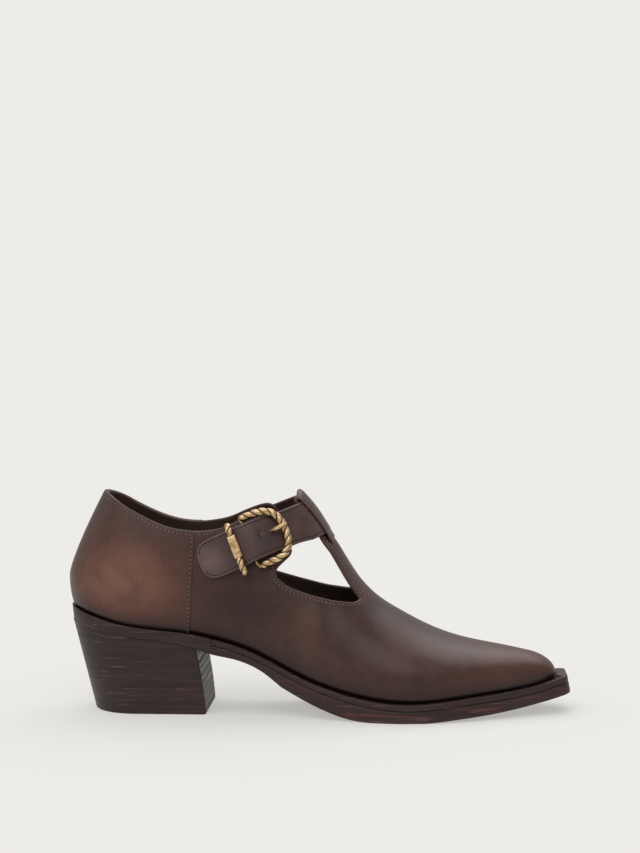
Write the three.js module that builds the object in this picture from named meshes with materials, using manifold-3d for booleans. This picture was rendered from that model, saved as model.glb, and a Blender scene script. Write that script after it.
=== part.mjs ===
// Western T-strap shoe for the right foot, standing on its sole, in millimetres.
// X runs from the heel to the toe, Y from the outer side to the inner side, Z up.
import * as THREE from 'three';
import { LoftGeometry } from 'three/addons/geometries/LoftGeometry.js';
import { mergeVertices } from 'three/addons/utils/BufferGeometryUtils.js';
import Module from 'manifold-3d';

const wasm = await Module();
wasm.setup();

// Driving dimensions
const SHOE_LENGTH = 282;
const BALL_WIDTH = 90;
const INSTEP_HEIGHT = 119.5;
const WALL = 2;
const GAP = 0.3;
const COUNTER_STEP = 0.9;
const FEATHER_TUCK = 1.4;
const FEATHER_LEAN = 0.5;
const WELT_THICKNESS = 3.4;
const WELT_REACH = 8;
const INSOLE_THICKNESS = 2;
const INSOLE_LIFT = 0.1;
const INSOLE_LEAST_WIDTH = 9;
const TBAR_Y = 1.6;
const STRAP_THICKNESS = 1.6;
const FLAP_THICKNESS = 1;
const ROPE_RADIUS = 2.05;
const KEEPER_RADIUS = 1.6;
const BAR_RADIUS = 0.9;
const PRONG_RADIUS = 0.95;
const TAB_THICKNESS = 0.8;

// The tables below are drawn on the base last; other sizes scale it.
const BASE_LENGTH = 282;
const BASE_BALL_WIDTH = 90;
const BASE_INSTEP_HEIGHT = 119.5;
const SCALE = new THREE.Vector3(
	SHOE_LENGTH / BASE_LENGTH,
	BALL_WIDTH / BASE_BALL_WIDTH,
	INSTEP_HEIGHT / BASE_INSTEP_HEIGHT,
);

// Half widths of the last from above: at the feather, which is the bottom edge of the upper,
// and at its widest line, to the outer side (Lat) and to the inner side (Med).
const LAST_PLAN = [
	{ x: -104, featherLat: 27.2, featherMed: 27.2, wideLat: 30.3, wideMed: 30.3 },
	{ x: -85, featherLat: 27.6, featherMed: 27.2, wideLat: 30.8, wideMed: 30.6 },
	{ x: -60, featherLat: 27.2, featherMed: 26, wideLat: 30.9, wideMed: 30.3 },
	{ x: -35, featherLat: 28, featherMed: 23.7, wideLat: 32.2, wideMed: 30 },
	{ x: -10, featherLat: 33.4, featherMed: 24.9, wideLat: 36, wideMed: 31.5 },
	{ x: 6, featherLat: 37.6, featherMed: 28, wideLat: 39.4, wideMed: 33.2 },
	{ x: 22, featherLat: 41.6, featherMed: 32.2, wideLat: 43.1, wideMed: 35.6 },
	{ x: 44, featherLat: 45.6, featherMed: 36.2, wideLat: 46.6, wideMed: 38.2 },
	{ x: 62, featherLat: 44.4, featherMed: 37, wideLat: 45.2, wideMed: 38.4 },
	{ x: 82, featherLat: 37.3, featherMed: 32.9, wideLat: 38, wideMed: 33.9 },
	{ x: 102, featherLat: 27.4, featherMed: 25.6, wideLat: 27.9, wideMed: 26.1 },
	{ x: 120, featherLat: 18.2, featherMed: 18.8, wideLat: 18.5, wideMed: 19.1 },
	{ x: 133.4, featherLat: 11.2, featherMed: 13.6, wideLat: 11.4, wideMed: 13.8 },
];
// The last from the side: height of the widest line and of the ridge, the ridge's offset
// towards the inner side, and how full the section is between the two.
const LAST_PROFILE = [
	{ x: -104, wide: 73, ridge: 146, ridgeY: 0, full: 0.36 },
	{ x: -85, wide: 70, ridge: 149, ridgeY: 0.2, full: 0.42 },
	{ x: -60, wide: 66, ridge: 147, ridgeY: 0.6, full: 0.52 },
	{ x: -35, wide: 58, ridge: 138, ridgeY: 1, full: 0.54 },
	{ x: -10, wide: 45, ridge: 119.5, ridgeY: 1.5, full: 0.52 },
	{ x: -4, wide: 41.2, ridge: 112.6, ridgeY: 1.7, full: 0.52 },
	{ x: 0, wide: 38.6, ridge: 106.8, ridgeY: 1.8, full: 0.52 },
	{ x: 4, wide: 36.2, ridge: 100.9, ridgeY: 1.9, full: 0.52 },
	{ x: 8, wide: 33.9, ridge: 97.2, ridgeY: 2.1, full: 0.53 },
	{ x: 12, wide: 31.9, ridge: 91.6, ridgeY: 2.2, full: 0.54 },
	{ x: 22, wide: 28, ridge: 75.6, ridgeY: 2.6, full: 0.58 },
	{ x: 44, wide: 24, ridge: 56.4, ridgeY: 3.4, full: 0.62 },
	{ x: 62, wide: 22.6, ridge: 46.8, ridgeY: 3.4, full: 0.64 },
	{ x: 82, wide: 22.4, ridge: 39.9, ridgeY: 2.6, full: 0.67 },
	{ x: 102, wide: 22.6, ridge: 36.2, ridgeY: 1.6, full: 0.7 },
	{ x: 120, wide: 23.4, ridge: 32.6, ridgeY: 0.9, full: 0.74 },
	{ x: 133.4, wide: 24.6, ridge: 29.6, ridgeY: 0.6, full: 0.76 },
];
// The back of the heel: how far each line of the last reaches behind the first section.
const HEEL_CUP = { featherReach: 33.3, wide: 75, wideReach: 35.8, full: 0.13 };
// The snip toe: where its rounding starts and how square it is in plan and in height.
const TOE = { roundFrom: 118, tip: 133.4, plan: 3.4, height: 2.6 };

// Outline of the sole from above
const SOLE_OUTLINE = [
	{ x: -108, lateral: 28.3, medial: 28.3 },
	{ x: -89, lateral: 28.8, medial: 28.6 },
	{ x: -70, lateral: 28.6, medial: 28 },
	{ x: -57, lateral: 28.4, medial: 27 },
	{ x: -45, lateral: 28.6, medial: 25.8 },
	{ x: -30, lateral: 30.6, medial: 25 },
	{ x: -19, lateral: 33, medial: 25.6 },
	{ x: -8, lateral: 36, medial: 27.2 },
	{ x: 8.5, lateral: 41, medial: 31.4 },
	{ x: 25, lateral: 46, medial: 36.2 },
	{ x: 46, lateral: 49.5, medial: 40 },
	{ x: 60, lateral: 48.3, medial: 40.5 },
	{ x: 77, lateral: 43.4, medial: 38 },
	{ x: 96, lateral: 34.8, medial: 32.2 },
	{ x: 110, lateral: 27.6, medial: 26.4 },
	{ x: 125, lateral: 19.8, medial: 20.8 },
	{ x: 139.4, lateral: 12.4, medial: 16 },
];
// Upper edge of the sole seen from the side: seat, arch, ball and toe spring
const SOLE_TOP = [
	{ x: -139.6, z: 59 },
	{ x: -125, z: 54.3 },
	{ x: -108, z: 49.8 },
	{ x: -89, z: 47.2 },
	{ x: -70, z: 45 },
	{ x: -57, z: 42.1 },
	{ x: -45, z: 38.8 },
	{ x: -30, z: 32.8 },
	{ x: -8, z: 22.3 },
	{ x: 8.5, z: 16.4 },
	{ x: 25, z: 12.5 },
	{ x: 46, z: 10.2 },
	{ x: 64, z: 10.6 },
	{ x: 84, z: 12.4 },
	{ x: 110, z: 14.8 },
	{ x: 125, z: 17.3 },
	{ x: 139.4, z: 21.2 },
];
// Lower edge of the thin waist, up to the step where the thicker tread starts
const WAIST_BOTTOM = [
	{ x: -139.6, z: 50.6 },
	{ x: -108, z: 43.6 },
	{ x: -89, z: 40.9 },
	{ x: -70, z: 37.5 },
	{ x: -57, z: 33.5 },
	{ x: -45, z: 31 },
	{ x: -37, z: 28.4 },
	{ x: -30, z: 24.9 },
	{ x: -19, z: 16.7 },
];
const TREAD_BOTTOM = [
	{ x: -19, z: 16.7 },
	{ x: -8, z: 10.9 },
	{ x: 8.5, z: 3.9 },
	{ x: 19.5, z: 1 },
	{ x: 30, z: 0 },
	{ x: 45, z: 0 },
	{ x: 60, z: 0 },
	{ x: 77, z: 1.2 },
	{ x: 96, z: 2.8 },
	{ x: 110, z: 4.6 },
	{ x: 125, z: 7.4 },
	{ x: 139.4, z: 11.4 },
];
const TREAD_FLAT = { from: 30, to: 60 };
const SOLE_BACK_REACH = 31.3;
const SOLE_BACK_FLAT = 0.06;
const SOLE_CORNER = 4.4;
const SOLE_TOE_LEAN = 0.19;
const SOLE_BACK_LEAN = 0.12;
const SOLE_BEVEL = 0.6;
const WELT_BACK = -58;
const WELT_BEVEL = 0.3;

// Stacked heel: reaches are measured back from its widest place
const HEEL = {
	widest: -100,
	topBack: 39.4,
	bottomBack: 25.6,
	topHalf: 28,
	bottomHalf: 26.6,
	breast: -60.8,
	breastLean: 0.07,
	breastCurve: 0.0025,
	edge: 0.8,
};
const RIB = { count: 8, pitch: 3.7, first: 3.4, depth: 0.5, height: 1, clear: 2 };

// Small helpers
const smooth = (t) => {
	const c = Math.min(Math.max(t, 0), 1);
	return c * c * (3 - 2 * c);
};
const column = (table, name) => table.map((row) => row[name]);

// A natural cubic spline through a column of a table, as a function of x.
function spline(xs, ys) {
	const n = xs.length;
	const bend = new Array(n).fill(0);
	const work = new Array(n).fill(0);
	for (let i = 1; i < n - 1; i++) {
		const share = (xs[i] - xs[i - 1]) / (xs[i + 1] - xs[i - 1]);
		const pivot = share * bend[i - 1] + 2;
		const slopeAfter = (ys[i + 1] - ys[i]) / (xs[i + 1] - xs[i]);
		const slopeBefore = (ys[i] - ys[i - 1]) / (xs[i] - xs[i - 1]);
		bend[i] = (share - 1) / pivot;
		work[i] = ((6 * (slopeAfter - slopeBefore)) / (xs[i + 1] - xs[i - 1]) - share * work[i - 1]) / pivot;
	}
	for (let i = n - 2; i >= 0; i--) {
		bend[i] = bend[i] * bend[i + 1] + work[i];
	}
	return (x) => {
		let k = 0;
		while (k < n - 2 && x > xs[k + 1]) k++;
		const h = xs[k + 1] - xs[k];
		const a = (xs[k + 1] - x) / h;
		const b = (x - xs[k]) / h;
		const curve = ((a ** 3 - a) * bend[k] + (b ** 3 - b) * bend[k + 1]) * h * h / 6;
		return a * ys[k] + b * ys[k + 1] + curve;
	};
}

function curves(table) {
	const found = {};
	for (const name of Object.keys(table[0])) found[name] = spline(column(table, 'x'), column(table, name));
	return found;
}
const lastCurves = { ...curves(LAST_PLAN), ...curves(LAST_PROFILE) };
const outlineCurves = curves(SOLE_OUTLINE);
const soleTop = curves(SOLE_TOP).z;
const waistBottom = curves(WAIST_BOTTOM).z;
const treadBottom = curves(TREAD_BOTTOM).z;
const TREAD_START = TREAD_BOTTOM[0].x;

function soleBottom(x) {
	if (x < TREAD_START) return waistBottom(x);
	if (x > TREAD_FLAT.from && x < TREAD_FLAT.to) return 0;
	return Math.max(0, treadBottom(x));
}

// The last's section at a station: the toe closes in a round end.
function sectionAt(x) {
	const s = {};
	for (const name of Object.keys(lastCurves)) s[name] = lastCurves[name](x);
	s.feather = soleTop(x) + GAP;
	const run = Math.max(0, (x - TOE.roundFrom) / (TOE.tip - TOE.roundFrom));
	const plan = Math.max(0, 1 - Math.min(run, 1) ** TOE.plan) ** (1 / TOE.plan);
	const height = Math.max(0, 1 - Math.min(run, 1) ** TOE.height) ** (1 / TOE.height);
	for (const name of ['featherLat', 'featherMed', 'wideLat', 'wideMed']) s[name] *= plan;
	s.wide = s.feather + (s.wide - s.feather) * height;
	s.ridge = s.feather + (s.ridge - s.feather) * height;
	return s;
}

// A point of one side of a section: v runs from the feather (0) to the ridge (1).
const LOW_SHARE = 0.25;
const TUCK_SHARE = 0.035;
function sidePoint(low, wide, full, ridgeZ, v) {
	if (v < LOW_SHARE) {
		const t = v / LOW_SHARE;
		const rise = ((wide.z - low.z) * TUCK_SHARE) / LOW_SHARE;
		const tuck = Math.min(FEATHER_TUCK, rise * FEATHER_LEAN) * Math.max(0, 1 - v / TUCK_SHARE);
		const reach = low.reach + (wide.reach - low.reach) * (2 * t - t * t);
		return { reach: Math.max(0, reach - tuck), z: low.z + (wide.z - low.z) * t };
	}
	const t = (v - LOW_SHARE) / (1 - LOW_SHARE);
	const a = (1 - t) ** 2;
	const b = 2 * full * t * (1 - t);
	const c = t * t;
	const sum = a + b + c;
	return { reach: ((a + b) * wide.reach) / sum, z: (a * wide.z + (b + c) * ridgeZ) / sum };
}

const HEEL_CENTRE = LAST_PLAN[0].x;
const ridgeShift = (section, z) => {
	const height = Math.max(section.ridge - section.feather, 0.01);
	return section.ridgeY * smooth((z - section.feather) / height);
};

// A point of the last. side is -1 on the outer side, +1 on the inner side.
function bodyPoint(x, side, v) {
	const s = sectionAt(x);
	const low = { reach: side < 0 ? s.featherLat : s.featherMed, z: s.feather };
	const wide = { reach: side < 0 ? s.wideLat : s.wideMed, z: s.wide };
	const p = sidePoint(low, wide, s.full, s.ridge, v);
	const y = side * p.reach + ridgeShift(s, p.z);
	return new THREE.Vector3(x, y, p.z);
}

// The heel cup turns the first section round to the back of the heel.
function heelPoint(angle, side, v) {
	const s = sectionAt(HEEL_CENTRE);
	const turn = Math.cos(angle);
	const mix = (sideValue, backValue) => sideValue + (backValue - sideValue) * smooth(turn);
	const feather = soleTop(HEEL_CENTRE - HEEL_CUP.featherReach * turn) + GAP;
	const wide = mix(s.wide, HEEL_CUP.wide);
	const full = mix(s.full, HEEL_CUP.full);
	const backward = sidePoint(
		{ reach: HEEL_CUP.featherReach, z: feather },
		{ reach: HEEL_CUP.wideReach, z: wide }, full, s.ridge, v);
	const sideways = sidePoint(
		{ reach: side < 0 ? s.featherLat : s.featherMed, z: feather },
		{ reach: side < 0 ? s.wideLat : s.wideMed, z: wide }, full, s.ridge, v);
	const x = HEEL_CENTRE - backward.reach * turn;
	const y = side * sideways.reach * Math.sin(angle);
	return new THREE.Vector3(x, y, backward.z);
}

// Rows of points from the inner feather over the ridge to the outer feather.
const HEEL_ROWS = 8;
const BODY_ROWS = 27;
const TOE_ROWS = 7;
const SIDE_POINTS = 12;

function sideSteps() {
	const steps = [0, TUCK_SHARE];
	const lowSteps = 3;
	for (let i = 1; i < lowSteps; i++) steps.push((LOW_SHARE * i) / lowSteps);
	const highSteps = SIDE_POINTS - lowSteps;
	for (let i = 0; i <= highSteps; i++) steps.push(LOW_SHARE + ((1 - LOW_SHARE) * i) / highSteps);
	return steps;
}

function lastRows() {
	const steps = sideSteps();
	const row = (point) => {
		const inner = steps.map((v) => point(1, v));
		const outer = steps.slice(0, -1).reverse().map((v) => point(-1, v));
		return [...inner, ...outer];
	};
	const rows = [];
	for (let i = 0; i < HEEL_ROWS; i++) {
		const angle = (Math.PI / 2) * (i / HEEL_ROWS);
		rows.push(row((side, v) => heelPoint(angle, side, v)));
	}
	for (let i = 0; i < BODY_ROWS; i++) {
		const x = HEEL_CENTRE + (TOE.roundFrom - HEEL_CENTRE) * (i / BODY_ROWS);
		rows.push(row((side, v) => bodyPoint(x, side, v)));
	}
	for (let i = 0; i <= TOE_ROWS; i++) {
		const x = TOE.roundFrom + (TOE.tip - TOE.roundFrom) * Math.sin((Math.PI / 2) * (i / TOE_ROWS));
		rows.push(row((side, v) => bodyPoint(x, side, v)));
	}
	return rows;
}

// Meshes to solids and back
const WELD = 1e-3;
function welded(geometry) {
	const plain = new THREE.BufferGeometry();
	plain.setAttribute('position', geometry.getAttribute('position'));
	if (geometry.getIndex()) plain.setIndex(geometry.getIndex());
	return mergeVertices(plain, WELD);
}

function solidOf(geometry) {
	const mesh = welded(geometry);
	const index = mesh.getIndex().array;
	const faces = [];
	for (let i = 0; i < index.length; i += 3) {
		const [a, b, c] = [index[i], index[i + 1], index[i + 2]];
		if (a !== b && b !== c && c !== a) faces.push(a, b, c);
	}
	const vertProperties = new Float32Array(mesh.getAttribute('position').array);
	return new wasm.Manifold(new wasm.Mesh({ numProp: 3, vertProperties, triVerts: new Uint32Array(faces) }));
}

function geometryOf(solid) {
	const mesh = solid.getMesh();
	const geometry = new THREE.BufferGeometry();
	geometry.setAttribute('position', new THREE.BufferAttribute(new Float32Array(mesh.vertProperties), 3));
	geometry.setIndex(new THREE.BufferAttribute(new Uint32Array(mesh.triVerts), 1));
	return geometry;
}

// Normals of a skin given as rows of points
function skinNormals(rows) {
	const mesh = welded(new LoftGeometry(rows, { closed: false }));
	mesh.computeVertexNormals();
	const position = mesh.getAttribute('position');
	const normal = mesh.getAttribute('normal');
	const key = (x, y, z) => [x, y, z].map((value) => Math.round(value * 50)).join('_');
	const found = new Map();
	for (let i = 0; i < position.count; i++) {
		const spot = key(position.getX(i), position.getY(i), position.getZ(i));
		found.set(spot, new THREE.Vector3(normal.getX(i), normal.getY(i), normal.getZ(i)));
	}
	const f = Math.fround;
	return rows.map((row) => row.map((p) => found.get(key(f(p.x), f(p.y), f(p.z)))));
}

// A skin as rows of points with the normal of each, ready to be pushed outwards.
function skin(rows) {
	return { rows, normals: skinNormals(rows) };
}

function pushed({ rows, normals }, offsetAt) {
	return rows.map((row, i) => row.map((p, j) => p.clone().addScaledVector(normals[i][j], offsetAt(p))));
}

// The whole last as a solid, offset outwards, with its bottom carried down by drop.
const LAST_SKIN = skin(lastRows());
function lastSolid(offset, drop) {
	const sections = pushed(LAST_SKIN, () => offset).map((row) => {
		const outerFoot = row[row.length - 1].clone();
		const innerFoot = row[0].clone();
		outerFoot.z -= drop;
		innerFoot.z -= drop;
		return [...row, outerFoot, innerFoot];
	});
	return solidOf(new LoftGeometry(sections, { closed: true }));
}

// The upper half of the last round the ankle strap, in finer steps.
const INSTEP = { from: -76, to: 28, rows: 23, sideSteps: 13 };
function instepRows() {
	const rows = [];
	for (let i = 0; i <= INSTEP.rows; i++) {
		const x = INSTEP.from + ((INSTEP.to - INSTEP.from) * i) / INSTEP.rows;
		const steps = [];
		for (let k = 0; k <= INSTEP.sideSteps; k++) {
			steps.push(LOW_SHARE + ((1 - LOW_SHARE) * k) / INSTEP.sideSteps);
		}
		const inner = steps.map((v) => bodyPoint(x, 1, v));
		const outer = steps.slice(0, -1).reverse().map((v) => bodyPoint(x, -1, v));
		rows.push([...inner, ...outer]);
	}
	return rows;
}
const INSTEP_SKIN = skin(instepRows());
function instepSolid(offsetAt) {
	const sections = pushed(INSTEP_SKIN, offsetAt);
	return solidOf(new LoftGeometry(sections, { closed: true, capStart: true, capEnd: true }));
}

// A side view outline from rows of x and z
function polygon(rows) {
	const shape = new THREE.Shape();
	rows.forEach((p, i) => (i === 0 ? shape.moveTo(p.x, p.z) : shape.lineTo(p.x, p.z)));
	shape.closePath();
	return shape;
}

// A shape drawn from the side (x, z), extended across the shoe from y0 to y1.
function sidePrism(shape, y0, y1) {
	const geometry = new THREE.ExtrudeGeometry(shape, { depth: y1 - y0, bevelEnabled: false });
	geometry.rotateX(Math.PI / 2);
	geometry.translate(0, y1, 0);
	return solidOf(geometry);
}

// Upper: the opening is drawn from the side, the collar first. inner is how much higher the
// collar runs on the inner side.
const COLLAR = [
	{ x: -132, z: 125.2, inner: 0.2 },
	{ x: -120.4, z: 122.9, inner: 0.2 },
	{ x: -112, z: 118.8, inner: 0.2 },
	{ x: -104, z: 114, inner: 0 },
	{ x: -92, z: 108.1, inner: 0 },
	{ x: -81, z: 104, inner: 0.6 },
	{ x: -70, z: 102.3, inner: 1.2 },
	{ x: -60, z: 102.6, inner: 1.8 },
	{ x: -51, z: 104.4, inner: 2.2 },
	{ x: -40, z: 109.3, inner: 2.2 },
	{ x: -30, z: 112, inner: 2.6 },
];
// The window follows, from the top of the buckle's tab down and forward to the T-bar.
const OUTER_WINDOW = [
	{ x: -25.6, z: 109.8 },
	{ x: -18, z: 102.4 },
	{ x: -13.6, z: 94 },
	{ x: -13.4, z: 89.8 },
	{ x: -17, z: 86 },
	{ x: -21, z: 82 },
	{ x: -21.6, z: 78.4 },
	{ x: -18.2, z: 74.8 },
	{ x: -13.6, z: 71.9 },
	{ x: -3.7, z: 68.4 },
	{ x: 5.9, z: 65.9 },
	{ x: 15.4, z: 64.1 },
	{ x: 21.2, z: 63.4 },
	{ x: 24.6, z: 65 },
	{ x: 24.2, z: 67.4 },
	{ x: 21.4, z: 71.2 },
	{ x: 15.8, z: 80.2 },
];
const INNER_WINDOW = [
	{ x: -24.6, z: 112 },
	{ x: -17.6, z: 104 },
	{ x: -15, z: 96 },
	{ x: -18, z: 89.4 },
	{ x: -25, z: 84.6 },
	{ x: -31, z: 80.6 },
	{ x: -31, z: 76.4 },
	{ x: -25.6, z: 74.5 },
	{ x: -18.1, z: 72.3 },
	{ x: -7.6, z: 69.5 },
	{ x: 2.8, z: 67.1 },
	{ x: 10.7, z: 66 },
	{ x: 17.6, z: 65.5 },
	{ x: 21.4, z: 66.6 },
	{ x: 22.2, z: 69 },
	{ x: 20.4, z: 72.8 },
	{ x: 15.8, z: 80.2 },
];
const SKY = 190;
const AHEAD = 45;
const ASIDE = 80;
const OPENING_RISE = 12;

function openingShape(collarRise, windowRows) {
	const points = COLLAR.map((p) => new THREE.Vector2(p.x, p.z + collarRise * p.inner));
	for (const p of windowRows) points.push(new THREE.Vector2(p.x, p.z));
	const shape = new THREE.Shape();
	shape.moveTo(points[0].x, SKY);
	shape.lineTo(points[0].x, points[0].y);
	const edge = new THREE.SplineCurve(points);
	for (const p of edge.getPoints(points.length * 2)) shape.lineTo(p.x, p.y);
	shape.lineTo(AHEAD, points[points.length - 1].y + OPENING_RISE);
	shape.lineTo(AHEAD, SKY);
	shape.closePath();
	return shape;
}

// The T-bar is what the opening leaves over the instep: its half width from above, which
// flares towards the vamp, and its region from the side.
const TBAR_PLAN = [
	{ x: -20, half: 9.6 },
	{ x: -5, half: 9.6 },
	{ x: -1, half: 10.4 },
	{ x: 2, half: 12.1 },
	{ x: 5, half: 14 },
	{ x: 9, half: 15.8 },
	{ x: 14, half: 17.6 },
	{ x: 24, half: 20.8 },
	{ x: 46, half: 20.8 },
];
const TBAR_KEEP = [
	{ x: -13.2, z: 118.6 },
	{ x: -6.4, z: 126.4 },
	{ x: 45, z: 92 },
	{ x: 24, z: 62 },
	{ x: -8, z: 98 },
];

function tbarColumn() {
	const innerSide = TBAR_PLAN.map((row) => new THREE.Vector2(row.x, TBAR_Y + row.half));
	const outerSide = TBAR_PLAN.map((row) => new THREE.Vector2(row.x, TBAR_Y - row.half));
	const plan = new THREE.Shape([...outerSide, ...innerSide.reverse()]);
	return solidOf(new THREE.ExtrudeGeometry(plan, { depth: SKY, bevelEnabled: false }));
}

// The T-bar goes up behind the strap, folds forward over it and comes down in front.
const FLAP = [
	{ x: -12.6, z: 117.4 },
	{ x: -8.6, z: 121 },
	{ x: -5.6, z: 125.4 },
	{ x: -2.2, z: 120 },
	{ x: 0.6, z: 115.2 },
	{ x: 3.1, z: 110.8 },
	{ x: 5.5, z: 106.4 },
	{ x: 8, z: 101.7 },
	{ x: 9.2, z: 98.6 },
	{ x: 2.6, z: 93.6 },
];
const FLAP_HALF_WIDTH = 9.5;
const STRAP_ROOM = STRAP_THICKNESS + 2 * GAP;

function flapSolid() {
	const outer = instepSolid(() => STRAP_ROOM + FLAP_THICKNESS);
	const inner = instepSolid(() => -WALL);
	const region = sidePrism(polygon(FLAP), TBAR_Y - FLAP_HALF_WIDTH, TBAR_Y + FLAP_HALF_WIDTH);
	const slotSkin = instepSolid(() => STRAP_ROOM).subtract(instepSolid(() => 0));
	const slot = slotSkin.intersect(strapBand(GAP));
	return outer.subtract(inner).intersect(region).subtract(slot);
}

// The back panel lies over the front one behind this seam.
const COUNTER = [
	{ x: -170, z: 0 },
	{ x: -69.8, z: 40 },
	{ x: -66.6, z: 104 },
	{ x: -66.6, z: 140 },
	{ x: -170, z: 140 },
];

function upperSolid() {
	const keep = sidePrism(polygon(TBAR_KEEP), -ASIDE, ASIDE).intersect(tbarColumn());
	const outer = sidePrism(openingShape(0, OUTER_WINDOW), -ASIDE, 0);
	const inner = sidePrism(openingShape(1, INNER_WINDOW), 0, ASIDE);
	const cut = outer.add(inner).subtract(keep);
	const footRoom = 8;
	const footTrim = 2;
	const hollow = lastSolid(-WALL, footRoom);
	const wall = lastSolid(0, footTrim).subtract(hollow);
	const counterLayer = lastSolid(COUNTER_STEP, footTrim).subtract(hollow);
	const counter = counterLayer.intersect(sidePrism(polygon(COUNTER), -ASIDE, ASIDE));
	const body = wall.add(counter).subtract(cut).subtract(groundPlate());
	return body.add(flapSolid());
}

// Sole
function soleHalf(x, side) {
	const widest = SOLE_OUTLINE[0];
	const name = side < 0 ? 'lateral' : 'medial';
	if (x < widest.x) {
		const share = (widest.x - x) / SOLE_BACK_REACH;
		return widest[name] * Math.sqrt(Math.max(0, 1 - share * share));
	}
	const tip = SOLE_OUTLINE[SOLE_OUTLINE.length - 1].x;
	const into = Math.max(0, x - (tip - SOLE_CORNER));
	const corner = SOLE_CORNER - Math.sqrt(Math.max(0, SOLE_CORNER ** 2 - into ** 2));
	return outlineCurves[name](x) - corner;
}

const SOLE_STEPS = { back: 9, body: 22, corner: 4 };
function soleStations() {
	const start = SOLE_OUTLINE[0].x;
	const cornerStart = SOLE_OUTLINE[SOLE_OUTLINE.length - 1].x - SOLE_CORNER;
	const stations = [];
	for (let i = 0; i < SOLE_STEPS.back; i++) {
		const angle = SOLE_BACK_FLAT + (Math.PI / 2 - SOLE_BACK_FLAT) * (i / SOLE_STEPS.back);
		stations.push(start - SOLE_BACK_REACH * Math.cos(angle));
	}
	for (let i = 0; i < SOLE_STEPS.body; i++) {
		stations.push(start + ((cornerStart - start) * i) / SOLE_STEPS.body);
	}
	for (let i = 0; i <= SOLE_STEPS.corner; i++) {
		stations.push(cornerStart + SOLE_CORNER * Math.sin((Math.PI / 2) * (i / SOLE_STEPS.corner)));
	}
	const exact = [TREAD_START, TREAD_FLAT.from, TREAD_FLAT.to];
	const apart = 1.5;
	const rest = stations.filter((x) => exact.every((e) => Math.abs(e - x) > apart));
	return [...rest, ...exact].sort((p, q) => p - q);
}

const SOLE_BACK = SOLE_OUTLINE[0].x - SOLE_BACK_REACH * Math.cos(SOLE_BACK_FLAT);

// Everything up to a gap above the sole: trims the upper and the insole parallel to it.
const GROUND = { beyond: 8, bottom: -20 };
function groundPlate() {
	const topOf = (x) => soleTop(x) + GAP;
	const { beyond, bottom } = GROUND;
	return plate({ inset: -beyond, bottomOf: () => bottom, topOf, bevel: 0, from: SOLE_BACK - beyond });
}

// Below its top the sole's edge leans forward, at the toe and at the back of the seat: the
// lean per mm of depth.
const LEAN_RUN = 20;
const edgeLean = (x) => SOLE_TOE_LEAN * smooth((x - TOE.roundFrom) / LEAN_RUN)
	+ SOLE_BACK_LEAN * smooth((SOLE_OUTLINE[0].x - x) / LEAN_RUN);

// A plate with the sole's outline, set in by inset, between two heights given along the shoe.
function plate({ inset, bottomOf, topOf, bevel, from }) {
	const tip = SOLE_OUTLINE[SOLE_OUTLINE.length - 1].x - inset;
	const between = soleStations().filter((x) => x > from + 0.2 && x < tip - 0.2);
	const sections = [from, ...between, tip].map((x) => {
		const left = inset - soleHalf(x, -1);
		const right = soleHalf(x, 1) - inset;
		const low = bottomOf(x);
		const high = topOf(x);
		const flare = (z) => edgeLean(x) * (soleTop(x) - z);
		const at = (y, z) => new THREE.Vector3(x + flare(z), y, z);
		if (bevel === 0) return [at(left, low), at(right, low), at(right, high), at(left, high)];
		const edge = Math.min(bevel, (right - left) / 4);
		return [
			at(left, low + edge), at(left + edge, low), at(right - edge, low), at(right, low + edge),
			at(right, high - edge), at(right - edge, high), at(left + edge, high), at(left, high - edge),
		];
	});
	return solidOf(new LoftGeometry(sections, { closed: true, capStart: true, capEnd: true }));
}

const FAR = 300;
function boxSolid(x0, x1, y0, y1, z0, z1) {
	const box = new THREE.BoxGeometry(x1 - x0, y1 - y0, z1 - z0);
	box.translate((x0 + x1) / 2, (y0 + y1) / 2, (z0 + z1) / 2);
	return solidOf(box);
}

// The welt is a strip let into the edge of the outsole, with a gap below and behind it.
function soleSolids() {
	const raised = (rise) => (x) => soleTop(x) + rise;
	const from = WELT_BACK - 20;
	const tall = 12;
	const strip = (grown) => {
		const bottomOf = raised(-WELT_THICKNESS - grown);
		const topOf = grown > 0 ? raised(tall) : soleTop;
		const layer = plate({ inset: -5 * grown, bottomOf, topOf, bevel: grown > 0 ? 0 : WELT_BEVEL, from });
		const inset = WELT_REACH + grown;
		const hole = plate({ inset, bottomOf: raised(-tall), topOf: raised(2 * tall), bevel: 0, from: from - 5 });
		const ahead = boxSolid(WELT_BACK - grown, FAR, -FAR, FAR, -FAR, FAR);
		return layer.subtract(hole).intersect(ahead);
	};
	const whole = plate({
		inset: 0,
		bottomOf: soleBottom,
		topOf: soleTop,
		bevel: SOLE_BEVEL,
		from: SOLE_BACK,
	});
	return { outsole: whole.subtract(strip(GAP)), welt: strip(0) };
}

// Heel block: level slices from the floor to the seat, cut by the sole's underside.
const HEEL_SLICES = [0, 0.9, 7, 14, 21, 28, 35, 42, 49, 56];
const HEEL_TOP = 53;
const HEEL_ARC_STEPS = 12;
const breastAt = (z) => HEEL.breast - HEEL.breastLean * z - HEEL.breastCurve * z * z;

function heelSlice(z) {
	const share = z / HEEL_TOP;
	const edge = z === 0 ? HEEL.edge : 0;
	const half = HEEL.bottomHalf + (HEEL.topHalf - HEEL.bottomHalf) * share - edge;
	const back = HEEL.bottomBack + (HEEL.topBack - HEEL.bottomBack) * share - edge;
	const breast = breastAt(z) - edge;
	const ring = [];
	for (let k = 0; k <= HEEL_ARC_STEPS; k++) {
		const angle = (Math.PI * k) / HEEL_ARC_STEPS;
		ring.push(new THREE.Vector3(HEEL.widest - back * Math.sin(angle), half * Math.cos(angle), z));
	}
	for (const y of [-half, 0, half]) ring.push(new THREE.Vector3(breast, y, z));
	return ring;
}

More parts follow.
